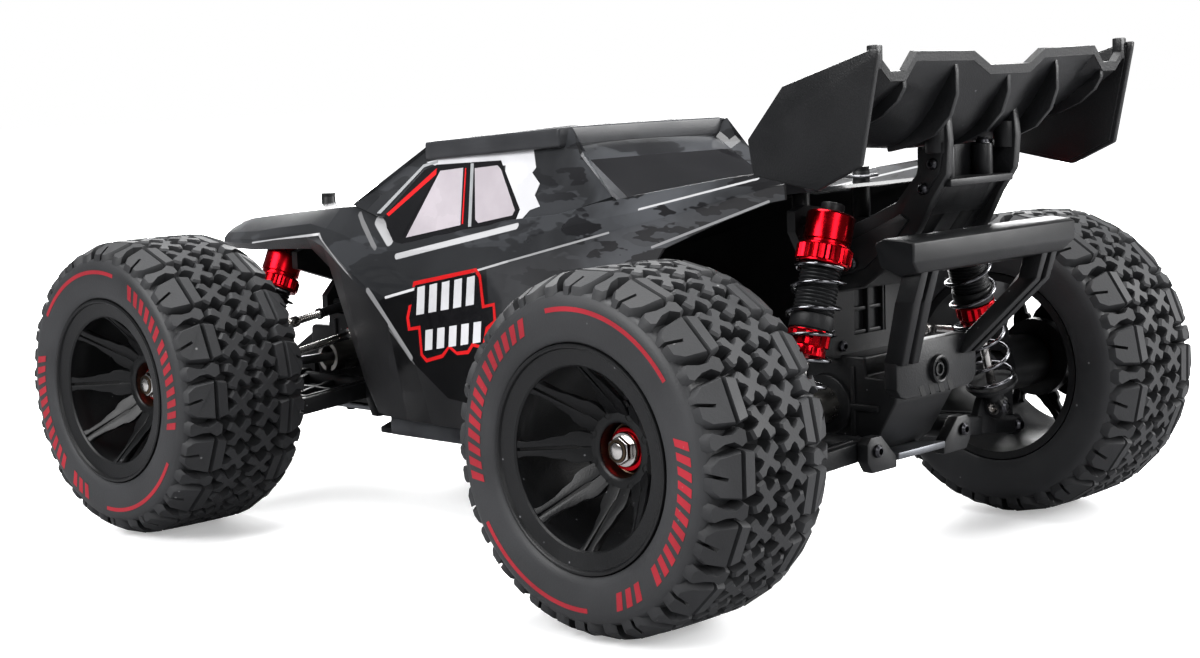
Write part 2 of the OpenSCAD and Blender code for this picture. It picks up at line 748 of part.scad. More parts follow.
// Cross sections of the lower body: y, half width and height of the top edge, the shoulder and the
// bottom edge, and the height of the middle
function body_sections() = [
    [-172, [18, 95.5], [22, 92], [22, 89.5], 96.5],
    [-140, [27, 101], [35, 94.5], [36, 90.5], 104],
    [-100, [34, 105.5], [43, 97], [44.5, 93], 108],
    [-84, [38, 106.5], [47, 94], [46, 80], 109],
    [-72, [41, 106.5], [49, 88], [45.5, 41], 109],
    [-66, [42, 106], [49.5, 86], [46, 33.5], 109],
    [0, [44.5, 103.5], [51, 88], [47, 33.5], 104],
    [46, [46, 108], [51, 95.5], [47, 34], 107],
    [56, [46, 109.5], [51, 98], [49, 60], 108],
    [76, [46, 113.5], [50.5, 104], [49.5, 97.5], 109],
    [118, [46.5, 120.4], [49, 119], [48.5, 112.6], 114]
];

// Points of one section, from the bottom on the left over the top to the bottom on the right, inset by t
function section_points(s, t) =
    let (y = s[0], a = s[1], b = s[2], c = s[3], drop = t > 0 ? -6 : 0)
    [[c[0] - t, y, c[1] + drop], [b[0] - t, y, b[1]], [a[0] - t, y, a[1] - t], [0, y, s[4] - t],
     [-a[0] + t, y, a[1] - t], [-b[0] + t, y, b[1]], [-c[0] + t, y, c[1] + drop]];

function shift_y(s, d) = [s[0] + d, s[1], s[2], s[3], s[4]];

module lower_body(t) {
    all = body_sections();
    last = len(all) - 1;
    loft([for (i = [0 : last])
        section_points(shift_y(all[i], i == 0 ? t : i == last ? -t : 0), t)]);
}

// The cab above the belt line, inset by t
module cab(t) {
    r = roof_half;
    front = -wheelbase / 2 + 32;
    rear = wheelbase / 2 - 63;
    loft([
        [[40 - t, front + t, 102], [0, front - 15 + t, 102], [-40 + t, front + t, 102],
            [-44.6 + t, rear - t, 102], [44.6 - t, rear - t, 102]],
        [[r - t, -35 + t, 126 - t], [0, -38 + t, 128 - t], [-r + t, -35 + t, 126 - t],
            [-r + t, 26 - t, roof_z - t], [r - t, 26 - t, roof_z - t]]
    ]);
}

module body_shell() {
    color("#2a2b2d") placed() resize([0, 0, 0])
        difference() {
            union() {
                lower_body(0);
                cab(0);
            }
            lower_body(shell_t);
            cab(shell_t);
            for (s = [-1, 1]) {
                translate([s * 15, -wheelbase / 2 - 10, 80]) rod_z(3.3, 0, 50);
                translate([s * 15, wheelbase / 2 - 8, 80]) rod_z(3.3, 0, 50);
            }
            box([-43, 112, 80], [43, 120, 140]);
        }
}

// ---- all nodes ----

lower_arm(1, -1);  // lower_arm_fl
lower_arm(-1, -1);  // lower_arm_fr
lower_arm(1, 1);  // lower_arm_rl
lower_arm(-1, 1);  // lower_arm_rr
c_hub(1);  // c_hub_fl
c_hub(-1);  // c_hub_fr
knuckle(1);  // knuckle_fl
knuckle(-1);  // knuckle_fr
rear_hub(1);  // rear_hub_rl
rear_hub(-1);  // rear_hub_rr
upper_link(1, -1);  // upper_link_fl
upper_link(-1, -1);  // upper_link_fr
upper_link(1, 1);  // upper_link_rl
upper_link(-1, 1);  // upper_link_rr
shock_body(1, -1);  // shock_body_fl
shock_body(-1, -1);  // shock_body_fr
shock_body(1, 1);  // shock_body_rl
shock_body(-1, 1);  // shock_body_rr
shock_rod(1, -1);  // shock_rod_fl
shock_rod(-1, -1);  // shock_rod_fr
shock_rod(1, 1);  // shock_rod_rl
shock_rod(-1, 1);  // shock_rod_rr
shock_springs();
drive_shaft(1, -1);  // drive_shaft_fl
drive_shaft(-1, -1);  // drive_shaft_fr
drive_shaft(1, 1);  // drive_shaft_rl
drive_shaft(-1, 1);  // drive_shaft_rr
wheel_axle(1, -1);  // wheel_axle_fl
wheel_axle(-1, -1);  // wheel_axle_fr
wheel_axle(1, 1);  // wheel_axle_rl
wheel_axle(-1, 1);  // wheel_axle_rr
rim(1, -1);  // rim_fl
rim(-1, -1);  // rim_fr
rim(1, 1);  // rim_rl
rim(-1, 1);  // rim_rr
tyre(1, -1);  // tyre_fl
tyre(-1, -1);  // tyre_fr
tyre(1, 1);  // tyre_rl
tyre(-1, 1);  // tyre_rr
diff(-1);  // diff_front
diff(1);  // diff_rear
center_shaft();
motor_pinion();
servo_horn();
steering_rack();
tie_rod(1);  // tie_rod_l
tie_rod(-1);  // tie_rod_r
chassis_plate();
body_shell();
rear_wing();
wing_mount();
rear_bumper();
front_bumper();
gearbox_cases();
tower(-1, 10, 109);  // front_tower
tower(1, -8, 119);  // rear_tower
motor();
battery();
esc_receiver();
steering_servo();
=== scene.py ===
"""Looks for an off-road model truck: body, wing, wheels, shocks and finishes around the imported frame."""

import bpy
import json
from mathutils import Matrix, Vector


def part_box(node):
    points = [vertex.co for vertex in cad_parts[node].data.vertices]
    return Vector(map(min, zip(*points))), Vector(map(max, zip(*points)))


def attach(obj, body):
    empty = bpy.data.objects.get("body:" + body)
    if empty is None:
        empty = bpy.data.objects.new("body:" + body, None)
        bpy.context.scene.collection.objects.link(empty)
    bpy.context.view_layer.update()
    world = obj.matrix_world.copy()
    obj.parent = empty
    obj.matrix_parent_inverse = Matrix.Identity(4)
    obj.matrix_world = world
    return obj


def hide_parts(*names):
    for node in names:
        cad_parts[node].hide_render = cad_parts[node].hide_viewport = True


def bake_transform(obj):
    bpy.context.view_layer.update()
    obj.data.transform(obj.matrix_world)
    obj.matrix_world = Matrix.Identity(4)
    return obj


bl_info = {
    "name": "Off-road model truck",
    "version": (1, 0, 0),
    "blender": (4, 5, 0),
    "location": "View3D > Sidebar > Truck",
    "description": "Builds the looks of a four wheel drive model truck around its frame",
    "category": "Object",
}

import json
import math

import bmesh
import bpy
from mathutils import Matrix, Vector

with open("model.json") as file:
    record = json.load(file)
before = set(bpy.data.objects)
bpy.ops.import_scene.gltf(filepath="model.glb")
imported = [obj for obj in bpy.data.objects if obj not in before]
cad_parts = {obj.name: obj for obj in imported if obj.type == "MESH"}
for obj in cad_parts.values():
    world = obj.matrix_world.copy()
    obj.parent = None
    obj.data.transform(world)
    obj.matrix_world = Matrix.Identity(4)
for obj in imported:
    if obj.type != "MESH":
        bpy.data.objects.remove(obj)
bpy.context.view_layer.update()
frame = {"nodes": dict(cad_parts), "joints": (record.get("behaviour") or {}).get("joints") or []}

MM = 0.001
JOINTS = {joint["name"]: joint for joint in frame["joints"]}
CORNERS = {"fl": (1, -1), "fr": (-1, -1), "rl": (1, 1), "rr": (-1, 1)}


def joint_place(name):
    """Where a joint sits, in millimetres."""
    return Vector(JOINTS[name]["pos_m"]) / MM


def node_box(name):
    """A frame node's lowest and highest corners, in millimetres."""
    low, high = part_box(name)
    return low / MM, high / MM


front_axle = joint_place("wheel_fl_spin")
rear_axle = joint_place("wheel_rl_spin")
axle_z = rear_axle.z
mid_y = (front_axle.y + rear_axle.y) / 2
half_base = (rear_axle.y - front_axle.y) / 2
tyre_low, tyre_high = node_box("tyre_rl")
tyre_out = tyre_high.x
tyre_in = tyre_low.x
tyre_mid = (tyre_out + tyre_in) / 2
tyre_r = (tyre_high.z - tyre_low.z) / 2
rim_low, rim_high = node_box("rim_rl")
lip_r = (rim_high.z - rim_low.z) / 2
lip_x = rim_high.x
nut_x = node_box("wheel_axle_rl")[1].x
wing_half = node_box("rear_wing")[1].x

# The truck's own frame: millimetres, x to the left, y to the rear from the middle of the wheelbase
TRUCK = Matrix.Translation((0, mid_y * MM, 0)) @ Matrix.Scale(MM, 4)
ALONG_Y = Matrix.Rotation(math.radians(90), 4, "Z")
ALONG_Z = Matrix.Rotation(math.radians(-90), 4, "Y")
STILL = Matrix.Identity(4)
ARM_DROP = math.atan2(8, 54)


def corner_frame(corner):
    """From a corner's own frame, x outwards and y away from the truck's middle, to the truck's."""
    side, end = CORNERS[corner]
    return Matrix.Translation((0, end * half_base, 0)) @ Matrix.Diagonal((side, end, 1, 1))


def wheel_frame(corner):
    """As corner_frame, with the origin raised to the axle."""
    return corner_frame(corner) @ Matrix.Translation((0, 0, axle_z))


# ---------------------------------------------------------------- settings


class TruckSizes(bpy.types.PropertyGroup):
    """Sizes of the visible pieces, in millimetres."""

    pitches: bpy.props.IntProperty(name="Tread pitches", description="Tread patterns round a tyre", default=16)
    lug_height: bpy.props.FloatProperty(name="Lug height", description="Height of the tread lugs", default=4.6)
    spokes: bpy.props.IntProperty(name="Spokes", description="Spokes of a rim", default=8)
    shell: bpy.props.FloatProperty(name="Shell", description="Thickness of the body shell", default=1.0)


class TruckColours(bpy.types.PropertyGroup):
    """Base colours of the finishes."""

    body: bpy.props.FloatVectorProperty(
        name="Body", description="Painted shell", subtype="COLOR", size=4, default=(0.019, 0.02, 0.022, 1))
    plastic: bpy.props.FloatVectorProperty(
        name="Plastic", description="Moulded plastic", subtype="COLOR", size=4, default=(0.0065, 0.0068, 0.0075, 1))
    rubber: bpy.props.FloatVectorProperty(
        name="Rubber", description="Tyre rubber", subtype="COLOR", size=4, default=(0.024, 0.0245, 0.026, 1))
    red: bpy.props.FloatVectorProperty(
        name="Red", description="Anodised alloy", subtype="COLOR", size=4, default=(0.5, 0.004, 0.01, 1))
    mark: bpy.props.FloatVectorProperty(
        name="Mark", description="Printed red", subtype="COLOR", size=4, default=(0.3, 0.012, 0.022, 1))


# ---------------------------------------------------------------- node groups


def new_group(name, inputs, outputs):
    """A shader node group with its named sockets, and its input and output nodes."""
    group = bpy.data.node_groups.new(name, "ShaderNodeTree")
    for label, kind, value in inputs:
        socket = group.interface.new_socket(name=label, in_out="INPUT", socket_type=kind)
        if value is not None:
            socket.default_value = value
    for label, kind in outputs:
        group.interface.new_socket(name=label, in_out="OUTPUT", socket_type=kind)
    return group, group.nodes.new("NodeGroupInput"), group.nodes.new("NodeGroupOutput")


def add(tree, kind, links=(), **values):
    """A node with its settings, and its inputs linked or set."""
    node = tree.nodes.new(kind)
    for key, value in values.items():
        setattr(node, key, value)
    for socket, source in links:
        if isinstance(source, bpy.types.NodeSocket):
            tree.links.new(source, node.inputs[socket])
        else:
            node.inputs[socket].default_value = source
    return node


def maths(tree, operation, a, b=None, c=None):
    """A Math node's result."""
    links = [(i, v) for i, v in enumerate((a, b, c)) if v is not None]
    return add(tree, "ShaderNodeMath", links, operation=operation).outputs[0]


def ramp(tree, value, low, high, start=0.0, end=1.0):
    """value mapped smoothly from low..high to start..end."""
    node = add(tree, "ShaderNodeMapRange", [(0, value), (1, low), (2, high), (3, start), (4, end)],
               interpolation_type="SMOOTHSTEP")
    return node.outputs[0]


def blend_colour(tree, share, a, b):
    """A colour between a and b."""
    node = add(tree, "ShaderNodeMix", data_type="RGBA")
    for socket, source in ((0, share), (6, a), (7, b)):
        if isinstance(source, bpy.types.NodeSocket):
            tree.links.new(source, node.inputs[socket])
        else:
            node.inputs[socket].default_value = source
    return node.outputs[2]


def grain_group():
    """Moulded grain: a fine height and a broad unevenness, both varying over the surface."""
    group, given, result = new_group(
        "moulded_grain",
        [("Vector", "NodeSocketVector", None), ("Grain Size", "NodeSocketFloat", 2500.0),
         ("Broad Size", "NodeSocketFloat", 60.0)],
        [("Height", "NodeSocketFloat"), ("Unevenness", "NodeSocketFloat")])
    for i, detail in enumerate((2.0, 4.0)):
        noise = add(group, "ShaderNodeTexNoise",
                    [("Vector", given.outputs[0]), ("Scale", given.outputs[i + 1]), ("Detail", detail)])
        group.links.new(noise.outputs["Fac"], result.inputs[i])
    return group


def dust_group():
    """Small pale specks, as a mask."""
    group, given, result = new_group(
        "dust_specks",
        [("Vector", "NodeSocketVector", None), ("Density", "NodeSocketFloat", 700.0),
         ("Cover", "NodeSocketFloat", 0.06)],
        [("Mask", "NodeSocketFloat")])
    cells = add(group, "ShaderNodeTexVoronoi", [("Vector", given.outputs[0]), ("Scale", given.outputs[1])])
    spot = ramp(group, cells.outputs["Distance"], 0.05, 0.16, 1.0, 0.0)
    pick = add(group, "ShaderNodeSeparateColor", [(0, cells.outputs["Color"])])
    chosen = maths(group, "LESS_THAN", pick.outputs[0], given.outputs[2])
    group.links.new(maths(group, "MULTIPLY", spot, chosen), result.inputs[0])
    return group


def stripe_group():
    """A straight stripe seen from the side: the mask is 1 within Width of the line from Start to End."""
    group, given, result = new_group(
        "side_stripe",
        [("Vector", "NodeSocketVector", None), ("Start", "NodeSocketVector", (0, 0, 0)),
         ("End", "NodeSocketVector", (0, 0, 1)), ("Width", "NodeSocketFloat", 0.001)],
        [("Mask", "NodeSocketFloat")])

    def vector(operation, a, b):
        return add(group, "ShaderNodeVectorMath", [(0, a), (1, b)], operation=operation)

    flat = vector("MULTIPLY", given.outputs[0], (0, 1, 1)).outputs[0]
    line = vector("SUBTRACT", given.outputs[2], given.outputs[1]).outputs[0]
    reach = vector("SUBTRACT", flat, given.outputs[1]).outputs[0]
    along = maths(group, "DIVIDE", vector("DOT_PRODUCT", reach, line).outputs["Value"],
                  vector("DOT_PRODUCT", line, line).outputs["Value"])
    share = add(group, "ShaderNodeClamp", [(0, along)]).outputs[0]
    step = add(group, "ShaderNodeVectorMath", [(0, line), ("Scale", share)], operation="SCALE").outputs[0]
    gap = add(group, "ShaderNodeVectorMath", [(0, vector("SUBTRACT", reach, step).outputs[0])], operation="LENGTH")
    near = maths(group, "DIVIDE", gap.outputs["Value"], given.outputs[3])
    group.links.new(ramp(group, near, 0.8, 1.0, 1.0, 0.0), result.inputs[0])
    return group


def torn_group():
    """Torn dark patches that run in one direction, as a mask."""
    group, given, result = new_group(
        "torn_patches",
        [("Vector", "NodeSocketVector", None), ("Scale", "NodeSocketFloat", 60.0),
         ("Cover", "NodeSocketFloat", 0.55)],
        [("Mask", "NodeSocketFloat")])
    slant = add(group, "ShaderNodeMapping", [("Vector", given.outputs[0]), ("Rotation", (math.radians(28), 0, 0)),
                                             ("Scale", (0.6, 0.55, 1.9))])
    noise = add(group, "ShaderNodeTexNoise", [("Vector", slant.outputs[0]), ("Scale", given.outputs[1]),
                                              ("Detail", 3.5), ("Roughness", 0.62)])
    sharp = maths(group, "SUBTRACT", noise.outputs["Fac"], given.outputs[2])
    group.links.new(ramp(group, sharp, 0.0, 0.012), result.inputs[0])
    return group


GROUPS = {}


def group_node(tree, name, vector, **values):
    """An instance of a shared effect, reading vector, with its own values."""
    makers = {"moulded_grain": grain_group, "dust_specks": dust_group, "side_stripe": stripe_group,
              "torn_patches": torn_group}
    if name not in GROUPS:
        GROUPS[name] = makers[name]()
    node = tree.nodes.new("ShaderNodeGroup")
    node.node_tree = GROUPS[name]
    tree.links.new(vector, node.inputs["Vector"])
    for label, value in values.items():
        node.inputs[label.replace("_", " ")].default_value = value
    return node


# ---------------------------------------------------------------- materials


def start_material(name, **constants):
    """A material with a Principled shader whose constant sockets are set, and Object coordinates."""
    material = bpy.data.materials.new(name)
    material.use_nodes = True
    tree = material.node_tree
    shader = tree.nodes["Principled BSDF"]
    for label, value in constants.items():
        shader.inputs[label.replace("_", " ")].default_value = value
    place = tree.nodes.new("ShaderNodeTexCoord").outputs["Object"]
    return material, tree, shader, place


def bump_from(tree, shader, height, distance, strength=1.0):
    """A height in metres that bends the shader's normal."""
    node = add(tree, "ShaderNodeBump", [("Height", height), ("Distance", distance), ("Strength", strength)])
    tree.links.new(node.outputs[0], shader.inputs["Normal"])


def tinted(colour, factor):
    """A colour made lighter or darker."""
    return (*(min(1.0, c * factor) for c in colour[:3]), 1)


def plastic_material(name, colour, rough=0.5, grain=2600.0, depth=0.00006, dust=0.0):
    """Moulded plastic with a fine spark-eroded grain and slightly uneven gloss."""
    material, tree, shader, place = start_material(name, Specular_IOR_Level=0.28)
    made = group_node(tree, "moulded_grain", place, Grain_Size=grain, Broad_Size=55.0)
    tint = blend_colour(tree, ramp(tree, made.outputs[1], 0.3, 0.7), tinted(colour, 0.82), tinted(colour, 1.22))
    if dust:
        specks = group_node(tree, "dust_specks", place, Density=420.0, Cover=dust)
        tint = blend_colour(tree, specks.outputs[0], tint, (0.16, 0.16, 0.17, 1))
    tree.links.new(tint, shader.inputs["Base Color"])
    tree.links.new(ramp(tree, made.outputs[1], 0.25, 0.75, rough - 0.07, rough + 0.08), shader.inputs["Roughness"])
    bump_from(tree, shader, made.outputs[0], depth)
    return material


def metal_material(name, colour, rough=0.25, grain=900.0, stretch=(1, 1, 1), depth=0.00001):
    """Metal with a fine grain, which stretch can draw out into turning or brushing marks, and a slightly uneven gloss.
    """
    material, tree, shader, place = start_material(name, Metallic=1.0)
    spread = add(tree, "ShaderNodeMapping", [("Vector", place), ("Scale", stretch)])
    made = group_node(tree, "moulded_grain", spread.outputs[0], Grain_Size=grain, Broad_Size=90.0)
    tint = blend_colour(tree, ramp(tree, made.outputs[1], 0.3, 0.7), tinted(colour, 0.8), tinted(colour, 1.15))
    tree.links.new(tint, shader.inputs["Base Color"])
    tree.links.new(ramp(tree, made.outputs[1], 0.25, 0.75, rough - 0.05, rough + 0.09), shader.inputs["Roughness"])
    bump_from(tree, shader, made.outputs[0], depth)
    return material


def rubber_material(name, colour, rough=0.62):
    """Tyre rubber: satin, dusty in places, with pale specks."""
    material, tree, shader, place = start_material(name, Specular_IOR_Level=0.3)
    made = group_node(tree, "moulded_grain", place, Grain_Size=1500.0, Broad_Size=38.0)
    specks = group_node(tree, "dust_specks", place, Density=300.0, Cover=0.05)
    tint = blend_colour(tree, ramp(tree, made.outputs[1], 0.3, 0.72), tinted(colour, 0.85), tinted(colour, 1.3))
    tint = blend_colour(tree, specks.outputs[0], tint, (0.2, 0.2, 0.2, 1))
    tree.links.new(tint, shader.inputs["Base Color"])
    tree.links.new(ramp(tree, made.outputs[1], 0.2, 0.8, rough - 0.1, rough + 0.1), shader.inputs["Roughness"])
    bump_from(tree, shader, made.outputs[0], 0.00005)
    return material


def gloss_material(name, colour, coat=0.7, rough=0.28):
    """Glossy printed film with faint orange peel."""
    material, tree, shader, place = start_material(name, Coat_Weight=coat, Coat_Roughness=0.06, Specular_IOR_Level=0.2)
    made = group_node(tree, "moulded_grain", place, Grain_Size=220.0, Broad_Size=40.0)
    tint = blend_colour(tree, ramp(tree, made.outputs[1], 0.3, 0.7), tinted(colour, 0.88), tinted(colour, 1.12))
    tree.links.new(tint, shader.inputs["Base Color"])
    tree.links.new(ramp(tree, made.outputs[1], 0.2, 0.8, rough - 0.06, rough + 0.08), shader.inputs["Roughness"])
    bump_from(tree, shader, made.outputs[0], 0.00002)
    return material


def side_point(y, z):
    """A point of the side view as a place in the material's coordinates."""
    return (0, (y + mid_y) * MM, z * MM)


# Painted highlights: pale lines along the body's creases, seen from the side: start and end as (y, z), half width and
# grey
CREASE_HIGHLIGHTS = [
    ((-135, 91.8), (-87, 97.2), 0.5, 0.5),
    ((-87, 97.2), (-68, 84), 0.4, 0.3),
    ((-68, 84), (-36, 55.5), 0.4, 0.12),
    ((-57, 79), (-37.5, 57.5), 1.3, 0.26),
    ((-47.8, 77.3), (-33, 80.9), 0.5, 0.6),
    ((-33, 80.9), (12.5, 92), 0.4, 0.4),
    ((12.5, 92), (56.7, 102.4), 0.35, 0.3),
    ((-43.5, 91.2), (12.5, 102.8), 1.1, 0.42),
    ((-58, 102.4), (-49, 96.2), 2.0, 0.36),
    ((-69.6, 104.4), (-55.2, 93.6), 0.9, 0.14),
    ((68, 109.6), (113, 119.2), 0.35, 0.4),
    ((74, 98.6), (118, 113), 0.4, 0.3),
]


def printed_material(colour):
    """The body's printed lexan: charcoal with torn dark patches, a lighter rear quarter, black lower sides
    and pale lines along the creases that are painted highlights, under a clear gloss."""
    material, tree, shader, place = start_material("printed_lexan", Coat_Weight=0.7, Coat_Roughness=0.06,
                                                   Specular_IOR_Level=0.2)
    made = group_node(tree, "moulded_grain", place, Grain_Size=200.0, Broad_Size=30.0)
    axis = add(tree, "ShaderNodeSeparateXYZ", [(0, place)])
    rear = ramp(tree, axis.outputs["Y"], (mid_y - 10) * MM, (mid_y + 52) * MM)
    base = blend_colour(tree, rear, tinted(colour, 1.0), tinted(colour, 3.0))
    base = blend_colour(tree, ramp(tree, made.outputs[1], 0.35, 0.7), tinted(colour, 0.8), base)
    wide = group_node(tree, "torn_patches", place, Scale=34.0, Cover=0.56)
    base = blend_colour(tree, maths(tree, "MULTIPLY", wide.outputs[0], 0.75), base, tinted(colour, 1.9))
    patches = group_node(tree, "torn_patches", place, Scale=62.0, Cover=0.53)
    quarter = maths(tree, "MULTIPLY", patches.outputs[0], rear)
    base = blend_colour(tree, quarter, base, (0.004, 0.004, 0.005, 1))
    # the lower side is black below the belt line, which climbs to the rear
    climb = maths(tree, "MULTIPLY_ADD", axis.outputs["Y"], 0.252, 0.0893 - 0.252 * mid_y * MM)
    below = ramp(tree, maths(tree, "SUBTRACT", climb, axis.outputs["Z"]), 0.0, 0.0003)
    front_part = ramp(tree, axis.outputs["Y"], (mid_y + 2) * MM, (mid_y + 2.6) * MM, 1.0, 0.0)
    low_dark = maths(tree, "MULTIPLY", below, front_part)
    behind_arch = ramp(tree, axis.outputs["Y"], (mid_y - 52) * MM, (mid_y - 51) * MM)
    base = blend_colour(tree, maths(tree, "MULTIPLY", low_dark, behind_arch), base, (0.004, 0.004, 0.0045, 1))
    # pale lines along the creases, over the print: painted highlights
    for start, end, half, grey in CREASE_HIGHLIGHTS:
        stripe = group_node(tree, "side_stripe", place, Start=side_point(*start), End=side_point(*end),
                            Width=half * MM)
        base = blend_colour(tree, stripe.outputs[0], base, (grey, grey, grey * 1.02, 1))
    tree.links.new(base, shader.inputs["Base Color"])
    tree.links.new(ramp(tree, made.outputs[1], 0.2, 0.8, 0.26, 0.38), shader.inputs["Roughness"])
    bump_from(tree, shader, made.outputs[0], 0.00002)
    return material


MATERIALS = {}


def material(name):
    """A finish by its name, made once."""
    if name in MATERIALS:
        return MATERIALS[name]
    colours = bpy.context.scene.truck_colours
    black = tuple(colours.plastic)
    makers = {
        "body": lambda: printed_material(tuple(colours.body)),
        "body_black": lambda: gloss_material("black_film", (0.006, 0.006, 0.007, 1), 0.8, 0.2),
        "body_inside": lambda: plastic_material("shell_inside", (0.012, 0.012, 0.013, 1), 0.45),
        "roof": lambda: plastic_material("roof_satin", (0.034, 0.035, 0.038, 1), 0.34, 1800.0, 0.00003),
        "window": lambda: gloss_material("pale_window", (0.44, 0.4, 0.43, 1), 0.9, 0.25),
        "white": lambda: gloss_material("white_print", (0.64, 0.64, 0.66, 1), 0.7, 0.3),
        "print_red": lambda: gloss_material("red_print", (0.62, 0.012, 0.014, 1), 0.7, 0.3),
        "silver": lambda: gloss_material("silver_print", (0.34, 0.35, 0.36, 1), 0.7, 0.3),
        "plastic": lambda: plastic_material("black_nylon", black, 0.42, dust=0.03),
        "wing": lambda: plastic_material("wing_plastic", tinted(black, 1.1), 0.42, 1900.0, 0.00008, dust=0.03),
        "rim": lambda: plastic_material("rim_plastic", tinted(black, 0.75), 0.4, 2100.0, 0.00006, dust=0.06),
        # painted shade: a darker black for the spokes' grooves and for the discs and marks that stand for holes and
        # slots
        "painted_shade": lambda: plastic_material("rim_recess", (0.004, 0.004, 0.004, 1), 0.5),
        "bronze": lambda: metal_material("bronze_cup", (0.09, 0.066, 0.045, 1), 0.35),
        "rubber": lambda: rubber_material("tread_rubber", tuple(colours.rubber)),
        "sidewall": lambda: rubber_material("sidewall_rubber", tinted(tuple(colours.rubber), 1.1), 0.5),
        "mark": lambda: rubber_material("red_mark", tuple(colours.mark), 0.5),
        "red": lambda: metal_material("red_anodised", tuple(colours.red), 0.22, 1200.0),
        "steel": lambda: metal_material("bright_steel", (0.62, 0.6, 0.58, 1), 0.2, 1400.0),
        "dark_steel": lambda: metal_material("dark_steel", (0.2, 0.2, 0.21, 1), 0.32),
        "chrome": lambda: metal_material("spring_chrome", (0.16, 0.16, 0.17, 1), 0.14, 600.0),
        "screw": lambda: metal_material("black_screw", (0.05, 0.05, 0.055, 1), 0.3),
        "grey_alloy": lambda: metal_material("grey_alloy", (0.13, 0.135, 0.145, 1), 0.38, 700.0),
        "gear_steel": lambda: metal_material("gear_steel", (0.3, 0.29, 0.27, 1), 0.3),
        "motor_can": lambda: metal_material("motor_can", (0.12, 0.12, 0.13, 1), 0.25),
        "battery": lambda: gloss_material("battery_wrap", (0.02, 0.02, 0.022, 1), 0.5, 0.3),
        "case": lambda: plastic_material("case_plastic", (0.014, 0.014, 0.016, 1), 0.4),
        "horn": lambda: plastic_material("white_nylon", (0.62, 0.61, 0.58, 1), 0.45),
    }
    MATERIALS[name] = makers[name]()
    return MATERIALS[name]


# ---------------------------------------------------------------- shapes


def new_mesh():
    """An empty bmesh that notes which of its vertices and faces are finished."""
    bm = bmesh.new()
    bm.verts.layers.int.new("placed")
    bm.faces.layers.int.new("placed")
    return bm


def unplaced(bm, kind="verts"):
    """The vertices or faces that aren't finished yet."""
    elements = getattr(bm, kind)
    layer = elements.layers.int["placed"]
    return [e for e in elements if not e[layer]]


def fresh(bm, kind="verts"):
    """The elements made since the last call, which then count as finished."""
    found = unplaced(bm, kind)
    layer = getattr(bm, kind).layers.int["placed"]
    for e in found:
        e[layer] = 1
    return found


def settle(bm, place=STILL, slot_index=0):
    """Places what was just made, gives it a material index and returns its vertices."""
    verts = fresh(bm)
    bmesh.ops.transform(bm, matrix=place, verts=verts)
    for face in fresh(bm, "faces"):
        face.material_index = slot_index
    return verts


def in_order(elements):
    """The elements without repeats, in the order they are met."""
    return list(dict.fromkeys(elements))


def slab(bm, outline, axis, low, high, place=STILL, slot_index=0, bevel=0.0, segments=2):
    """A flat plate with its outline across an axis, from low to high along it, with rounded edges."""
    order = {"x": lambda u, v, w: (w, u, v), "y": lambda u, v, w: (u, w, v), "z": lambda u, v, w: (u, v, w)}[axis]
    face = bm.faces.new([bm.verts.new(order(u, v, low)) for u, v in outline])
    grown = bmesh.ops.extrude_face_region(bm, geom=[face])
    top = [v for v in grown["geom"] if isinstance(v, bmesh.types.BMVert)]
    bmesh.ops.translate(bm, vec=Vector(order(0, 0, high - low)), verts=top)
    if bevel:
        faces = unplaced(bm, "faces")
        bmesh.ops.recalc_face_normals(bm, faces=faces)
        edges = [e for e in in_order(e for f in faces for e in f.edges) if e.calc_face_angle(0) > math.radians(25)]
        bmesh.ops.bevel(bm, geom=edges, offset=bevel, affect="EDGES", segments=segments, profile=0.5, material=-1,
                        clamp_overlap=True)
    return settle(bm, place, slot_index)


def block(bm, low, high, place=STILL, slot_index=0, bevel=0.0, segments=2):
    """A box from its two corners, with rounded edges."""
    outline = [(low[0], low[1]), (high[0], low[1]), (high[0], high[1]), (low[0], high[1])]
    return slab(bm, outline, "z", low[2], high[2], place, slot_index, bevel, segments)


def turned(bm, points, place=STILL, slot_index=0, steps=40, closed=False):
    """A turned shape about the X axis from points of (x, radius)."""
    verts = [bm.verts.new((x, 0, r)) for x, r in points]
    pairs = list(zip(verts, verts[1:])) + ([(verts[-1], verts[0])] if closed else [])
    edges = [bm.edges.new(pair) for pair in pairs]
    bmesh.ops.spin(bm, geom=verts + edges, cent=(0, 0, 0), axis=(1, 0, 0), angle=math.tau, steps=steps,
                   use_merge=True)
    made = unplaced(bm)
    bmesh.ops.remove_doubles(bm, verts=made, dist=0.0005)
    return settle(bm, place, slot_index)


def rod(bm, radius, low, high, place=STILL, slot_index=0, steps=24, round_by=0.25):
    """A cylinder along X with rounded rims."""
    r = min(round_by, radius / 2, (high - low) / 3)
    points = [(low, 0), (low, radius - r), (low + r * 0.3, radius - r * 0.3), (low + r, radius),
              (high - r, radius), (high - r * 0.3, radius - r * 0.3), (high, radius - r), (high, 0)]
    return turned(bm, points, place, slot_index, steps)


def repeat(bm, verts, count, total=math.tau):
    """Copies of a shape round the X axis."""
    geom = verts + in_order(e for v in verts for e in v.link_edges)
    geom += in_order(f for v in verts for f in v.link_faces)
    for i in range(1, count):
        copy = bmesh.ops.duplicate(bm, geom=geom)["geom"]
        moved = [v for v in copy if isinstance(v, bmesh.types.BMVert)]
        bmesh.ops.rotate(bm, cent=(0, 0, 0), matrix=Matrix.Rotation(total * i / count, 3, "X"), verts=moved)
    for kind in ("verts", "faces"):
        fresh(bm, kind)


def sheet(bm, rows, place=STILL, slot_index=0):
    """A surface through rows of points, as a grid that is moved onto them."""
    across, along = len(rows[0]) - 1, len(rows) - 1
    grid = bmesh.ops.create_grid(bm, x_segments=across, y_segments=along, size=1)["verts"]
    for v in grid:
        i = round((v.co.x + 1) / 2 * across)
        j = round((v.co.y + 1) / 2 * along)
        v.co = rows[j][i]
    return settle(bm, place, slot_index)


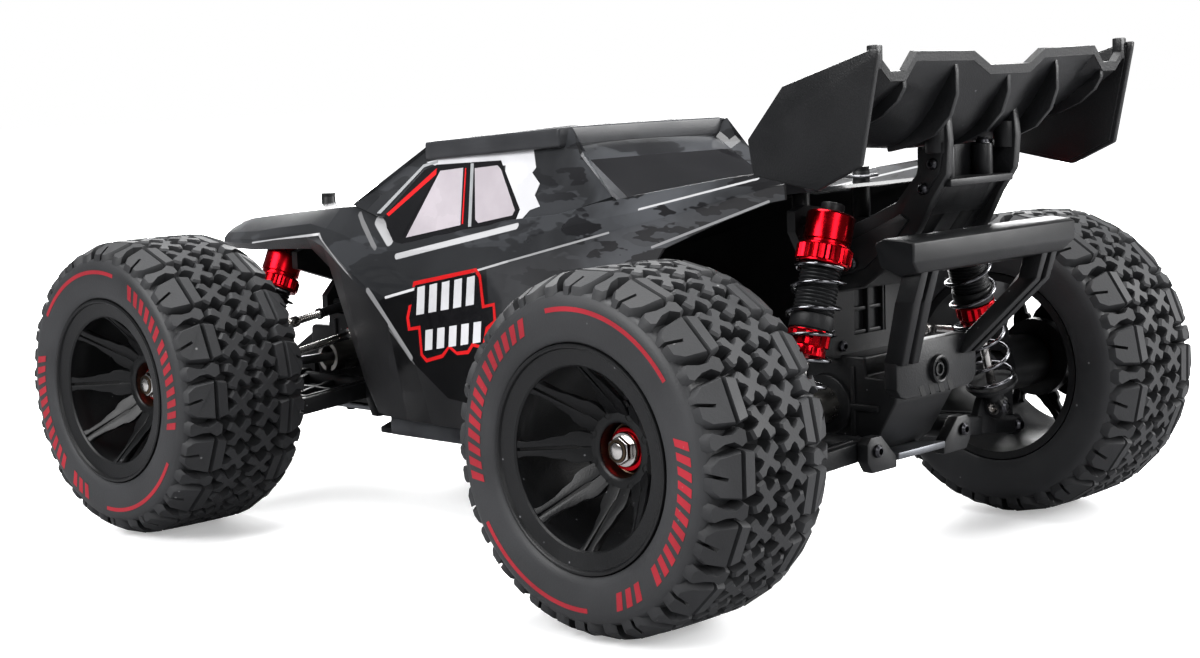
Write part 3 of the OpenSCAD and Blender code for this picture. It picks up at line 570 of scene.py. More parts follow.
def hexagon(reach):
    """A regular hexagon's outline by its corner radius."""
    return [(reach * math.sin(math.tau * i / 6), reach * math.cos(math.tau * i / 6)) for i in range(6)]


def screw(bm, at, direction, radius=1.6, slot_index=0):
    """A round screw head with a hexagon socket, proud of at along direction."""
    place = Matrix.Translation(at) @ Vector(direction).to_track_quat("X", "Z").to_matrix().to_4x4()
    turned(bm, [(0, radius), (radius * 0.45, radius * 0.95), (radius * 0.75, radius * 0.66),
                (radius * 0.78, radius * 0.5)], place, slot_index, 16)
    turned(bm, [(radius * 0.78, radius * 0.5), (radius * 0.25, radius * 0.46), (radius * 0.25, 0)], place,
           slot_index, 6)


def make_piece(name, bm, finishes, body, replaced=(), place=TRUCK, smooth=40, closed=True):
    """Turns a bmesh into a piece that rides on a body."""
    if closed:
        bmesh.ops.recalc_face_normals(bm, faces=bm.faces)
    bmesh.ops.transform(bm, matrix=place, verts=bm.verts)
    if place.determinant() < 0:
        bmesh.ops.reverse_faces(bm, faces=bm.faces)
    for elements in (bm.verts, bm.faces):
        elements.layers.int.remove(elements.layers.int["placed"])
    mesh = bpy.data.meshes.new(name)
    bm.to_mesh(mesh)
    bm.free()
    for finish in finishes:
        mesh.materials.append(material(finish))
    mesh.polygons.foreach_set("use_smooth", [True] * len(mesh.polygons))
    mesh.set_sharp_from_angle(angle=math.radians(smooth))
    obj = bpy.data.objects.new(name, mesh)
    bpy.context.scene.collection.objects.link(obj)
    if body:
        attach(obj, body)
    if replaced:
        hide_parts(*replaced)
    return obj


def add_bevel(obj, width, segments=2, angle=30):
    """Rounds a piece's sharp edges."""
    modifier = obj.modifiers.new("rounding", "BEVEL")
    modifier.width = width * MM
    modifier.segments = segments
    modifier.limit_method = "ANGLE"
    modifier.angle_limit = math.radians(angle)
    modifier.use_clamp_overlap = True
    modifier.harden_normals = False
    return obj


# ---------------------------------------------------------------- wheels


def crown(x):
    """Height of the tread's top at x from the tyre's middle."""
    t = abs(x) / 25
    return tyre_r - 0.4 * t ** 2 - 4.6 * max(0.0, t - 0.62) ** 1.6 / 0.38 ** 1.6


def lug(bm, outline, depth, taper=0.86, place=STILL):
    """One tread block on the tyre's top: its outline as (x, along), sides tapered, top edges chamfered."""
    cx = sum(p[0] for p in outline) / len(outline)
    cy = sum(p[1] for p in outline) / len(outline)
    rings = [(0.0, 1.16), (depth - 0.6, 1.0), (depth, taper)]
    face = bm.faces.new([bm.verts.new((x, y, 0)) for x, y in outline])
    layers = [list(face.verts)]
    for low, high in zip(rings, rings[1:]):
        grown = bmesh.ops.extrude_face_region(bm, geom=[face])["geom"]
        new_face = [g for g in grown if isinstance(g, bmesh.types.BMFace)][0]
        if face.is_valid:
            bmesh.ops.delete(bm, geom=[face], context="FACES_ONLY")
        face = new_face
        bmesh.ops.translate(bm, vec=(0, 0, high[0] - low[0]), verts=face.verts[:])
        layers.append(face.verts[:])
    for verts, (_, size) in zip(layers, rings):
        for v in verts:
            v.co.x = cx + (v.co.x - cx) * size
            v.co.y = cy + (v.co.y - cy) * size
    for v in unplaced(bm):
        v.co.z += crown(v.co.x) - depth - 0.25 * (1 - v.co.z / depth)
        bend = v.co.y / tyre_r
        v.co.y, v.co.z = v.co.z * math.sin(bend), v.co.z * math.cos(bend)
    return settle(bm, place)


def star(cx, cy, reach, turn, waist=0.36):
    """A four-pronged block's outline."""
    points = []
    for i in range(4):
        a = math.radians(turn + 90 * i)
        for spread, r in ((-22, 0.56), (-19, 1.0), (9, 1.08), (20, 0.92), (24, 0.56), (45, waist)):
            b = a + math.radians(spread)
            points.append((cx + reach * r * math.cos(b), cy + reach * 0.92 * r * math.sin(b)))
    return points


def tread(bm, sizes):
    """All tread blocks of a tyre about the X axis, centred on its middle."""
    pitch = math.tau * tyre_r / sizes.pitches
    h = sizes.lug_height
    verts = []
    for side in (1, -1):
        outer = [(10.6, -5.6), (14.3, -6.4), (14.3, 6.4), (10.6, 5.6)]
        upper = [(15.3, -6.4), (21.6, -5.6), (23.7, -3.4), (23.7, -1.5), (19.4, 0.2), (19.8, 1.2), (23.7, -0.3),
                 (23.7, 3.4), (21.6, 5.6), (15.3, 6.4)]
        tie = [(12.4, -1.5), (14.6, -2.6), (17.2, -1.0), (20.0, -1.2), (22.6, -2.6), (23.6, -1.6), (23.6, 1.6),
               (22.6, 2.6), (20.0, 1.2), (17.2, 1.0), (14.6, 2.6), (12.4, 1.5)]
        shift = 0 if side > 0 else pitch / 2
        for shape, turn in ((outer, 0), (upper, 0), (tie, pitch / 2)):
            outline = [(side * x, y) for x, y in shape]
            verts += lug(bm, outline, h, 0.9, Matrix.Rotation((shift + turn) / tyre_r, 4, "X"))
        for step, angle in ((0.25, 38), (0.75, 52)):
            outline = star(side * 5.5, 0, 5.6, angle)
            verts += lug(bm, outline, h, 0.86,
                         Matrix.Rotation(-(shift + (step + (0.12 if side > 0 else -0.12)) * pitch) / tyre_r, 4, "X"))
    repeat(bm, verts, sizes.pitches)


def carcass_points():
    """Half section of the tyre under its blocks, as (x from the truck's middle, radius), outer bead first."""
    w = (tyre_out - tyre_in) / 2
    outside = [(w - 1.3, lip_r + 0.25), (w - 0.7, lip_r + 0.9), (w - 0.25, lip_r + 3), (w, lip_r + 6),
               (w, lip_r + 9.6), (w - 0.35, lip_r + 11.2), (w - 1.0, lip_r + 12.5), (w - 1.9, lip_r + 13.3),
               (w - 3.4, lip_r + 13.6), (w - 4.2, tyre_r - 5.3), (w - 10, tyre_r - 4.6), (w - 18, tyre_r - 4.5),
               (0, tyre_r - 4.5)]
    inside = [(-x, r) for x, r in reversed(outside[:-1])]
    back = [(-w + 5, lip_r + 0.2), (-w + 3.6, lip_r + 5), (-w + 3.8, tyre_r - 9), (0, tyre_r - 6.5),
            (w - 3.8, tyre_r - 9), (w - 3.6, lip_r + 5), (w - 5, lip_r + 0.2)]
    return [(tyre_mid + x, r) for x, r in outside + inside + back]


def tyre_marks(bm):
    """Red rings and bars printed on the outer sidewall: plain arcs and slanted bars."""
    def band(start, stop, r0, r1, slant=0.0):
        turns = max(1, round(abs(stop - start) / 2.0))
        verts = [bm.verts.new((tyre_out + 0.06, 0, r)) for r in (r0, r1)]
        edge = bm.edges.new(verts)
        bmesh.ops.rotate(bm, cent=(0, 0, 0), matrix=Matrix.Rotation(math.radians(start), 3, "X"), verts=verts)
        verts[1].co = Matrix.Rotation(math.radians(slant), 3, "X") @ verts[1].co
        bmesh.ops.spin(bm, geom=verts + [edge], cent=(0, 0, 0), axis=(1, 0, 0), angle=math.radians(stop - start),
                       steps=turns)
        settle(bm)
    for start, stop in ((-54, 13), (-239, -176)):
        band(start, stop, 39.5, 40.8)
    for start, count in ((-134, 11), (-158, 3), (-297, 8), (-332, 6)):
        for i in range(count):
            band(start + i * 5.6, start + i * 5.6 + 3.3, 36.2, 40.8, -2.6)


def build_tyre(corner, sizes):
    """A lugged tyre with its printed marks."""
    bm = new_mesh()
    tread(bm, sizes)
    bmesh.ops.translate(bm, vec=(tyre_mid, 0, 0), verts=bm.verts)
    turned(bm, carcass_points(), steps=96, closed=True, slot_index=1)
    place = TRUCK @ wheel_frame(corner)
    make_piece("tyre_lugged_" + corner, bm, ["rubber", "sidewall"], "wheel_" + corner,
               ["tyre_" + corner], place, 32)
    bm = new_mesh()
    tyre_marks(bm)
    for face in bm.faces:
        if face.normal.x < 0:
            face.normal_flip()
    make_piece("tyre_marks_" + corner, bm, ["mark"], "wheel_" + corner, (), place, closed=False)


def spoke(bm, face_at):
    """One spoke pointing up: two rails beside a groove on a web, widening towards the hub."""
    half = [(9.5, 3.7), (12.8, 4.5), (14.6, 4.3), (16.0, 3.3), (18.4, 3.0), (20.6, 2.2), (23.4, 2.0), (24.7, 2.5),
            (25.5, 3.7)]
    rails = []
    for side in (1, -1):
        outline = [(side * w, r) for r, w in half] + [(side * 0.42, 25.4), (side * 0.42, 13.6), (side * 0.05, 12.9),
                                                      (side * 0.05, 9.5)]
        rails += slab(bm, outline, "x", 0, 2.2, bevel=0.28)
    # the web at the groove's floor takes the painted shade
    web = slab(bm, [(-1.6, 9.5), (1.6, 9.5), (1.5, 25.4), (-1.5, 25.4)], "x", -2.2, 0.8, slot_index=1)
    for v in rails + web:
        v.co.x += face_at(math.hypot(v.co.y, v.co.z))
    return rails + web


def build_rim(corner, sizes):
    """A rim with its barrel, wide outer ring, spokes and cup."""
    hub_x = nut_x - 3.8
    ring_x = lip_x - 1.6

    def face_at(r):
        share = min(max((r - 9.5) / 15.9, 0), 1)
        return hub_x - 0.4 + (ring_x - 1.7 - hub_x) * (0.62 * share + 0.38 * share ** 2)

    bm = new_mesh()
    verts = spoke(bm, face_at)
    repeat(bm, verts, sizes.spokes)
    ring = [(ring_x - 2.6, 24.9), (ring_x - 0.5, 24.7), (ring_x, 25.2), (lip_x - 1.0, 29.0), (lip_x - 0.9, 29.5),
            (lip_x - 0.2, 29.8), (lip_x, 30.2), (lip_x - 0.1, lip_r - 0.2), (lip_x - 0.7, lip_r),
            (lip_x - 1.8, lip_r - 0.1), (lip_x - 2.2, lip_r - 1.1), (tyre_in + 4, lip_r - 1.1),
            (tyre_in + 3, lip_r - 0.2), (tyre_in + 1.4, lip_r - 0.2), (tyre_in + 1.4, lip_r - 2.6),
            (lip_x - 12, lip_r - 3.2), (ring_x - 6, 26.6)]
    turned(bm, ring, steps=96, closed=True)
    hub = [(hub_x - 3, 7.2), (hub_x + 1.9, 7.6), (hub_x + 2.2, 7.9), (hub_x + 2.4, 8.6), (hub_x + 2.2, 12.2),
           (hub_x - 0.6, 13.2), (hub_x - 4, 13), (hub_x - 4, 7.2)]
    turned(bm, hub, steps=64, closed=True)
    turned(bm, [(hub_x + 1.85, 7.62), (hub_x - 2.4, 7.1), (hub_x - 2.8, 6.4), (hub_x - 2.8, 2.6), (hub_x - 3.3, 2.6),
                (hub_x - 3.3, 7.4), (hub_x + 1.7, 7.8)], steps=48, closed=True, slot_index=2)
    # dark discs at the hub between the spokes: painted shade standing for holes
    for i in range(sizes.spokes):
        place = Matrix.Rotation(math.tau * (i + 0.5) / sizes.spokes, 4, "X") @ Matrix.Translation((0, 0, 10.4))
        turned(bm, [(hub_x + 2.5, 1.45), (hub_x + 2.5, 1.2), (hub_x + 1.9, 1.1), (hub_x + 1.9, 0)], place, 1, 14)
    place = TRUCK @ wheel_frame(corner)
    make_piece("rim_spoked_" + corner, bm, ["rim", "painted_shade", "bronze"], "wheel_" + corner,
               ["rim_" + corner], place, 35)


def build_axle(corner):
    """Stub axle with its red hex, washer, flanged nut and cup."""
    hub_x = nut_x - 3.8
    bm = new_mesh()
    cup_end, cup_r, floor = (78.6, 6.2, 86.6) if corner[0] == "f" else (70, 5.4, 84.8)
    rod(bm, 2.45, floor + 0.5, nut_x, slot_index=0, steps=24, round_by=0.6)
    turned(bm, [(nut_x, 1.6), (nut_x - 0.5, 1.3), (nut_x - 0.5, 0)], slot_index=0, steps=20)
    turned(bm, [(cup_end, cup_r - 1.1), (cup_end, cup_r), (floor + 0.2, cup_r), (floor + 1.1, cup_r - 1),
                (floor + 1.1, 2.4), (floor, 2.4), (floor, cup_r - 1.2)], closed=True, slot_index=2)
    slab(bm, hexagon(6.8), "x", 96, hub_x - 3.4, slot_index=1, bevel=0.35)
    turned(bm, [(hub_x - 2.7, 2.6), (hub_x - 2.7, 6.2), (hub_x - 1.6, 6.4), (hub_x - 0.6, 5.9), (hub_x - 0.4, 4.6),
                (hub_x - 0.6, 2.6)], closed=True, slot_index=1)
    turned(bm, [(hub_x - 0.3, 2.5), (hub_x - 0.3, 4.7), (hub_x + 0.2, 4.9), (hub_x + 0.7, 4.6), (hub_x + 0.9, 2.5)],
           closed=True, slot_index=0, steps=36)
    slab(bm, hexagon(4.05), "x", hub_x + 0.7, nut_x - 0.9, slot_index=0, bevel=0.3)
    turned(bm, [(nut_x - 1.1, 2.5), (nut_x - 1.1, 3.3), (nut_x - 0.5, 3.1), (nut_x - 0.4, 2.5)], closed=True,
           slot_index=3, steps=30)
    make_piece("wheel_axle_fitted_" + corner, bm, ["steel", "red", "dark_steel", "bronze"], "wheel_" + corner,
               ["wheel_axle_" + corner], TRUCK @ wheel_frame(corner), 30)


# ---------------------------------------------------------------- shocks


def shock_facts(corner):
    """A shock's frame, x running down it from its top eye, and its length."""
    eye = joint_place("shock_" + corner + "_swing")
    slide = Vector(JOINTS["shock_rod_" + corner + "_slide"]["axis"])
    down = slide if slide.z < 0 else -slide
    low = node_box("shock_rod_" + corner)[0]
    length = (eye.z - low.z - 4) / -down.z
    turn = Vector(down).to_track_quat("X", "Y").to_matrix().to_4x4()
    return Matrix.Translation(eye) @ turn, length


def knurled(bm, low, high, radius, ribs, place, slot_index):
    """A collar with axial ribs cut into its rim."""
    teeth = []
    for i in range(ribs * 2):
        a = math.tau * i / (ribs * 2)
        r = radius if i % 2 else radius - 0.42
        teeth.append((r * math.cos(a), r * math.sin(a)))
    slab(bm, teeth, "x", low, high, place, slot_index)


def threads(bm, low, high, radius, pitch, place, slot_index):
    """Fine rings that read as a screw thread."""
    points = [(low, radius - 0.5)]
    count = int((high - low) / pitch)
    for i in range(count):
        x = low + (i + 0.5) * (high - low) / count
        points += [(x - pitch * 0.42, radius - 0.45), (x, radius), (x + pitch * 0.42, radius - 0.45)]
    points += [(high, radius - 0.5)]
    turned(bm, [(low, 0)] + points + [(high, 0)], place, slot_index, 40)


def build_shock(corner):
    """A coil-over shock: capped and threaded body, rod with its lower perch, and the spring."""
    place, length = shock_facts(corner)
    rear = corner[0] == "r"
    top, cap, collar, thread, step, nose = (-2.6, 7.0, 12.8, 32, 36.5, 40.2) if rear else (-4, 7, 12, 23.5, 27.5, 31)
    perch = length - 8.6
    bm = new_mesh()
    rod(bm, 3.4, top - 2.6, top + 0.4, place, 1)
    turned(bm, [(top, 0), (top, 3.6), (top + 0.2, 5.8), (top + 0.5, 6.6), (top + 1, 6.95), (cap - 1.2, 6.95),
                (cap - 0.8, 6.4), (cap, 6.4), (cap, 0)], place, 0, 48)
    rings = ((cap, cap + 0.9, 7.6), (collar - 0.9, collar, 7.7))
    for low, high, radius in rings:
        rod(bm, radius, low, high, place, 0, 48)
    knurled(bm, cap + 0.9, collar - 0.9, 8.1, 34, place, 0)
    threads(bm, collar, thread - 4.6, 6.0, 1.0, place, 1)
    rod(bm, 6.25, thread - 4.6, thread - 0.4, place, 1, 40)
    rod(bm, 5.6, thread - 0.5, thread + 0.3, place, 1, 40)
    knurled(bm, thread + 0.2, step - 0.2, 6.2, 18, place, 0)
    rod(bm, 6.3, thread, thread + 0.6, place, 0, 40)
    rod(bm, 5.3, step - 0.4, nose - 0.8, place, 0, 40)
    knurled(bm, step + 0.4, nose - 1.2, 5.5, 16, place, 0)
    turned(bm, [(nose - 0.8, 4.9), (nose, 3.2), (nose, 1.6), (nose - 1, 1.6), (nose - 1, 4.9)], place, 0, 32,
           closed=True)
    make_piece("shock_body_turned_" + corner, bm, ["red", "plastic", "screw"], "shock_body_" + corner,
               ["shock_body_" + corner], Matrix.Scale(MM, 4), 32)
    bm = new_mesh()
    rod(bm, 1.45, length * 0.42, length - 3, place, 0)
    turned(bm, [(perch, 1.5), (perch, 8.2), (perch + 0.8, 8.2), (perch + 1.2, 7.4), (perch + 2.2, 7.0),
                (perch + 2.6, 4.2), (perch + 2.6, 1.5)], place, 1, 48, closed=True)
    turned(bm, [(perch + 2.4, 0), (perch + 2.4, 3.0), (length - 5, 2.7), (length - 2.6, 3.0), (length - 2.4, 0)],
           place, 1, 24)
    turned(bm, [(-2.1, 2.0), (-2.1, 3.5), (-1.6, 4.0), (1.6, 4.0), (2.1, 3.5), (2.1, 2.0)],
           place @ Matrix.Translation((length, 0, 0)) @ ALONG_Y, 1, 28, closed=True)
    turned(bm, [(-2.3, 1.5), (-2.3, 2.2), (2.3, 2.2), (2.3, 1.5)],
           place @ Matrix.Translation((length, 0, 0)) @ ALONG_Y, 0, 20, closed=True)
    make_piece("shock_rod_fitted_" + corner, bm, ["steel", "plastic"], "shock_rod_" + corner,
               ["shock_rod_" + corner], Matrix.Scale(MM, 4), 32)
    return build_spring(corner, place, collar, perch, 5 if not rear else 7)


def build_spring(corner, place, low, high, turns):
    """A coil spring swept along its helix, closed and flat at both ends."""
    coil_r, wire, steps, sides = 7.25, 0.62, 26, 8
    bm = new_mesh()
    section = bmesh.ops.create_circle(bm, segments=sides, radius=wire)["verts"]
    bmesh.ops.rotate(bm, cent=(0, 0, 0), matrix=Matrix.Rotation(math.radians(90), 3, "X"), verts=section)
    bmesh.ops.transform(bm, matrix=Matrix.Translation((coil_r, 0, 0)), verts=section)
    total = turns * steps
    # the closed coils at both ends climb at a quarter of the pace
    closed_share, closed_pace = 0.6 / turns, 0.25
    run = (high - low - 2 * wire) / (total - (1 - closed_pace) * 2 * closed_share * total)
    last = bm.edges[:]
    for i in range(total):
        grown = bmesh.ops.extrude_edge_only(bm, edges=last)["geom"]
        ring = [g for g in grown if isinstance(g, bmesh.types.BMVert)]
        last = [g for g in grown if isinstance(g, bmesh.types.BMEdge) and all(v in ring for v in g.verts)]
        share = (i + 0.5) / total
        pace = closed_pace if min(share, 1 - share) < closed_share else 1.0
        bmesh.ops.rotate(bm, cent=(0, 0, 0), matrix=Matrix.Rotation(math.tau / steps, 3, "Z"), verts=ring)
        bmesh.ops.translate(bm, vec=(0, 0, run * pace), verts=ring)
    bmesh.ops.holes_fill(bm, edges=[e for e in bm.edges if e.is_boundary])
    upright = Matrix.Rotation(math.radians(90), 4, "Y")
    bmesh.ops.transform(bm, matrix=place @ Matrix.Translation((low + wire, 0, 0)) @ upright, verts=bm.verts)
    obj = make_piece("coil_spring_" + corner, bm, ["chrome"], None, (), Matrix.Scale(MM, 4), 50)
    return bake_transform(obj)


# ---------------------------------------------------------------- body


# Half sections of the lower body: y, then x and z of each line of points from the middle to the bottom edge:
# middle, hood crease, top edge, shoulder, belt line, lower crease, bottom edge
SECTIONS = [
    (-172.6, (0, 93.6), (11, 93.4), (19, 92.8), (22.5, 91.6), (23.5, 90.4), (23.5, 89.4), (22.6, 88)),
    (-166, (0, 99.6), (13, 99.2), (22, 97.4), (28, 93.8), (29.6, 92), (29.8, 90.4), (28.8, 88.4)),
    (-153, (0, 102.4), (15, 101.8), (25.4, 99.6), (32.4, 94.8), (34.4, 92.2), (34.6, 90.6), (33.4, 88.6)),
    (-135, (0, 104.6), (17, 103.8), (29, 101.4), (37.4, 96), (39.6, 93.2), (39.8, 91.6), (38.6, 89.2)),
    (-117, (0, 106.4), (18, 105.6), (32, 103.2), (41.2, 98.2), (43, 95.4), (43.2, 93.8), (42, 90.4)),
    (-95, (0, 108), (20, 107.4), (36, 105.2), (44.2, 100.4), (45.8, 97.4), (46, 95.8), (44, 91.4)),
    (-84, (0, 108.6), (22, 108), (38.6, 106.2), (46, 99.2), (48, 95.4), (47.8, 93), (40.6, 81)),
    (-74, (0, 108.6), (24, 108.2), (40.4, 106.8), (47.2, 97.6), (49.8, 89.6), (49.4, 87.2), (40.2, 46)),
    (-66, (0, 108), (24, 107.8), (41.8, 105.6), (48, 95.6), (50.4, 84.8), (50.2, 82.6), (41.2, 35)),
    (-58, (0, 107), (24, 106.8), (42.6, 104.4), (48.4, 94), (50.9, 80.4), (50.6, 78.2), (42.4, 34.4)),
    (-48, (0, 106), (24, 105.8), (43.4, 103.6), (48.6, 92.8), (51, 77.4), (50.4, 68.4), (43.2, 34)),
    (-35, (0, 105), (24, 104.8), (44, 103.2), (48.6, 93.4), (51, 80), (50, 55), (44, 34)),
    (-20, (0, 105), (24, 104.8), (44.4, 103.2), (48.6, 95), (51, 83.8), (49.6, 45), (44.4, 34)),
    (-2, (0, 105), (24, 104.8), (44.8, 103.6), (48.6, 97), (51, 88.2), (49.4, 43.4), (44.6, 34)),
    (30, (0, 107), (24, 107), (45.6, 107), (49, 102), (51, 96.8), (49.6, 43.8), (44.8, 34)),
    (47, (0, 109), (24, 109), (46, 110.8), (49.4, 105.4), (51, 101), (49.9, 47), (45.8, 36)),
    (56, (0, 109), (24, 109), (46.2, 112.2), (49.6, 107), (51, 102.8), (50.4, 72), (49, 60)),
    (64, (0, 110), (24, 110), (46.3, 113.6), (49.8, 108.4), (51, 104.2), (50.6, 88), (50, 80)),
    (78, (0, 111), (24, 111), (46.5, 115.8), (49.8, 110.8), (51, 107.2), (50.8, 101), (50.2, 98)),
    (100, (0, 113), (24, 113), (46.6, 119.2), (49.6, 115.4), (50.6, 112.6), (50.4, 109), (50, 106.4)),
    (118, (0, 115), (24, 115), (46.6, 121.4), (49.2, 118.8), (50.2, 117), (50, 114.6), (49.8, 112.4)),
    (123.6, (0, 115.4), (24, 115.4), (46.4, 122), (49, 119.4), (49.8, 117.8), (49.6, 115.8), (49.4, 113.4)),
]
# Where the roof's slope starts and ends, and how much it climbs
ROOF_FRONT, ROOF_REAR, ROOF_RISE = -37.0, 26.5, 4.6


def wall_x(z):
    """How far out the cab's side stands at a height."""
    return 45 - 0.28 * (z - 103.5)


def both_sides(bm):
    """Mirrors a half shape made at x above 0, and joins it along the middle."""
    bmesh.ops.mirror(bm, geom=bm.verts[:] + bm.edges[:] + bm.faces[:], matrix=STILL, merge_dist=0.01, axis="X")
    bmesh.ops.remove_doubles(bm, verts=bm.verts, dist=0.01)


def thick(bm, wall, up=Vector((0, 0, 1))):
    """Gives an open skin its wall on the inside."""
    bmesh.ops.recalc_face_normals(bm, faces=bm.faces)
    facing = sum((f.normal.dot(up) * f.calc_area() for f in bm.faces), 0.0)
    if facing < 0:
        bmesh.ops.reverse_faces(bm, faces=bm.faces)
    bmesh.ops.solidify(bm, geom=bm.faces[:], thickness=wall)


def build_lower_body(sizes):
    """The hood, sides and wheel arches, with their creases."""
    bm = new_mesh()
    rows = [[Vector((x, s[0], z)) for x, z in s[1:]] for s in SECTIONS]
    sheet(bm, rows)
    nose = [[Vector((x, -172.6, z)) for x, z in SECTIONS[0][1:]],
            [Vector((x * 0.96, -171.4, min(z, 89.4) - 2.6)) for x, z in SECTIONS[0][1:]]]
    sheet(bm, nose)
    bmesh.ops.remove_doubles(bm, verts=bm.verts, dist=0.01)
    # the bed behind the cab is open above, and has its own floor
    bed = [f for f in bm.faces if f.calc_center_median().y > 40 and f.calc_center_median().x < 45
           and f.calc_center_median().z > 104]
    cabin = [f for f in bm.faces if -62 < f.calc_center_median().y < 40 and f.calc_center_median().x < 44
             and f.calc_center_median().z > 101]
    bmesh.ops.delete(bm, geom=bed + cabin, context="FACES_ONLY")
    both_sides(bm)
    thick(bm, sizes.shell)
    for face in bm.faces:
        centre, out = face.calc_center_median(), face.normal
        inward = out.x * centre.x < 0 or out.z < -0.3
        arch = -90 < centre.y < -45 and centre.z < 91 and abs(centre.x) < 49
        if arch or (inward and centre.z < 118):
            face.material_index = 1
    obj = make_piece("body_lower", bm, ["body", "body_inside"], "chassis", ["body_shell"], smooth=24,
                     closed=False)
    return add_bevel(obj, 0.7, 3, 11)


def build_cab(sizes):
    """The cab's sides and sails, windscreen, rear window and the bed behind it."""
    bm = new_mesh()
    bottom = [(-74, 106.9), (-58, 104.2), (-35, 103), (-12, 103.2), (10, 104.6), (30, 106.8), (52, 111.6)]
    top = [(-37, 126.2), (-31, 126.6), (-20, 127.2), (-6, 128), (8, 129.2), (20, 130.4), (28.5, 131.4)]
    foot = [Vector((40.4 if y < -70 else wall_x(z), y, z)) for y, z in bottom]
    head = [Vector((wall_x(z) + 0.1, y, z)) for y, z in top]
    sheet(bm, [foot, [a.lerp(b, 0.5) for a, b in zip(foot, head)], head])
    screen_foot = [Vector((0, -89, 108.9)), Vector((14, -87.4, 108.8)), Vector((28, -82.6, 108.2)), foot[0]]
    screen_head = [Vector((0, -41, 127.6)), Vector((14, -40.4, 127.5)), Vector((28, -39, 127)), head[0]]
    sheet(bm, [screen_foot, screen_head])
    bmesh.ops.remove_doubles(bm, verts=bm.verts, dist=0.01)
    roof_end, sill = Vector((33.5, 25, 129.4)), Vector((36, 57, 107.6))
    sheet(bm, [[Vector((0, 25, 130)), roof_end], [Vector((0, 34, 123.4)), roof_end.lerp(sill, 0.28)]])
    sheet(bm, [[Vector((0, 34, 123.4)), roof_end.lerp(sill, 0.28)], [Vector((0, 58.5, 107.8)), sill]], slot_index=1)
    sheet(bm, [[head[-1], roof_end], [foot[-1].lerp(head[-1], 0.72), roof_end.lerp(sill, 0.28)], [foot[-1], sill]])
    tail_edge = [Vector((0, 121, 115.6)), Vector((36, 121, 115.8)), Vector((44.2, 121.6, 121.2))]
    mid_edge = [Vector((0, 90, 111.6)), Vector((36, 90, 111.8)), Vector((44.4, 90, 117.2))]
    start_edge = [Vector((0, 58.5, 107.8)), sill, Vector((45.2, 52.5, 111.5))]
    sheet(bm, [start_edge, mid_edge, tail_edge])
    both_sides(bm)
    thick(bm, sizes.shell)
    obj = make_piece("body_cab", bm, ["body", "body_black"], "chassis", smooth=12, closed=False)
    return add_bevel(obj, 0.6, 3, 12)


def roof_climb(y):
    """The roof's rise at y above its front."""
    return ROOF_RISE * (y - ROOF_FRONT) / (ROOF_REAR - ROOF_FRONT)


def build_roof():
    """The roof slab with its rounded front and four ribs."""
    half = [(0, -43.6), (20, -42.6), (34, -40.4), (39.6, -37.4), (40.8, -33), (40.9, 10), (40.4, ROOF_REAR),
            (36, 28.4), (20, 27.4), (0, 27.2)]
    outline = half + [(-x, y) for x, y in reversed(half[1:-1])]
    bm = new_mesh()
    slab(bm, outline, "z", -1.0, 5.2, bevel=0.9, segments=3)
    for v in bm.verts:
        v.co.z += 123.9 + roof_climb(v.co.y) + 0.25 * (1 - (v.co.x / 40) ** 2)
    for x in (-24, -8, 8, 24):
        rib = slab(bm, [(x - 1.6, -30), (x + 1.6, -30), (x + 1.6, 18), (x - 1.6, 18)], "z", 0, 1.2, bevel=0.4)
        for v in rib:
            v.co.z += 128.6 + roof_climb(v.co.y)
    make_piece("roof_slab", bm, ["roof"], "chassis", smooth=35)


def side_decals(bm, outline, proud, slot_index):
    """A thin printed shape on both cab sides from its (y, z) outline."""
    for side in (1, -1):
        verts = slab(bm, outline, "x", 0, 0.12, slot_index=slot_index)
        for v in verts:
            v.co.x = side * (wall_x(v.co.z) + proud + v.co.x)


def build_windows():
    """Cab windows: black surrounds, pale panes with red edges, and the white patch behind them."""
    bm = new_mesh()
    surround = [(-53.4, 104.4), (-36.9, 119.9), (-31, 121.6), (-0.7, 123.2), (11.6, 107.9), (10.4, 104.5),
                (-8, 101.7), (-42.4, 95.4), (-47, 96.2), (-51.2, 100.4)]
    patch = [(-36.5, 122.3), (-29.8, 123.6), (13.4, 126.9), (15.8, 121), (14.4, 119.4), (18.6, 116), (17.2, 112.4),
             (20.2, 109), (16, 107.8), (12.6, 104.4), (4, 102.9), (1.8, 121.6), (-29, 120.6)]
    outer_edge = [(-57.6, 105.1), (-37.8, 121.6), (-31, 123), (-31, 122.2), (-37.2, 120.7), (-55.6, 105)]
    front_pane = [(-28.9, 119.6), (-18, 120.7), (-14.9, 102.3), (-40.6, 97.5)]
    divider = [(-14.6, 122.1), (-13.2, 122.2), (-9.6, 102), (-11, 101.8)]
    rear_pane = [(-12.4, 120.6), (-1.9, 121.6), (0, 120.3), (9.4, 107.6), (8.6, 106), (-6.6, 103.2), (-8.2, 104.2)]
    dark_corner = [(-50.9, 104), (-32.6, 118.4), (-29.9, 118.9), (-42.6, 97.6), (-47.6, 99.8)]
    red_edge = [(-52.4, 105), (-51, 104.2), (-30.6, 118.4), (-30.8, 120.4)]
    red_line = [(-16.9, 120.6), (-16.4, 120.6), (-13.6, 102.8), (-14.2, 102.6)]
    for outline, proud, slot_index in (
            (patch, 0.04, 1), (surround, 0.1, 0), (outer_edge, 0.14, 4), (front_pane, 0.2, 2), (dark_corner, 0.22, 0),
            (red_edge, 0.26, 3), (divider, 0.26, 4), (rear_pane, 0.2, 2), (red_line, 0.3, 3)):
        side_decals(bm, outline, proud, slot_index)
    make_piece("cab_windows", bm, ["body_black", "white", "window", "print_red", "silver"], "chassis",
               smooth=20)


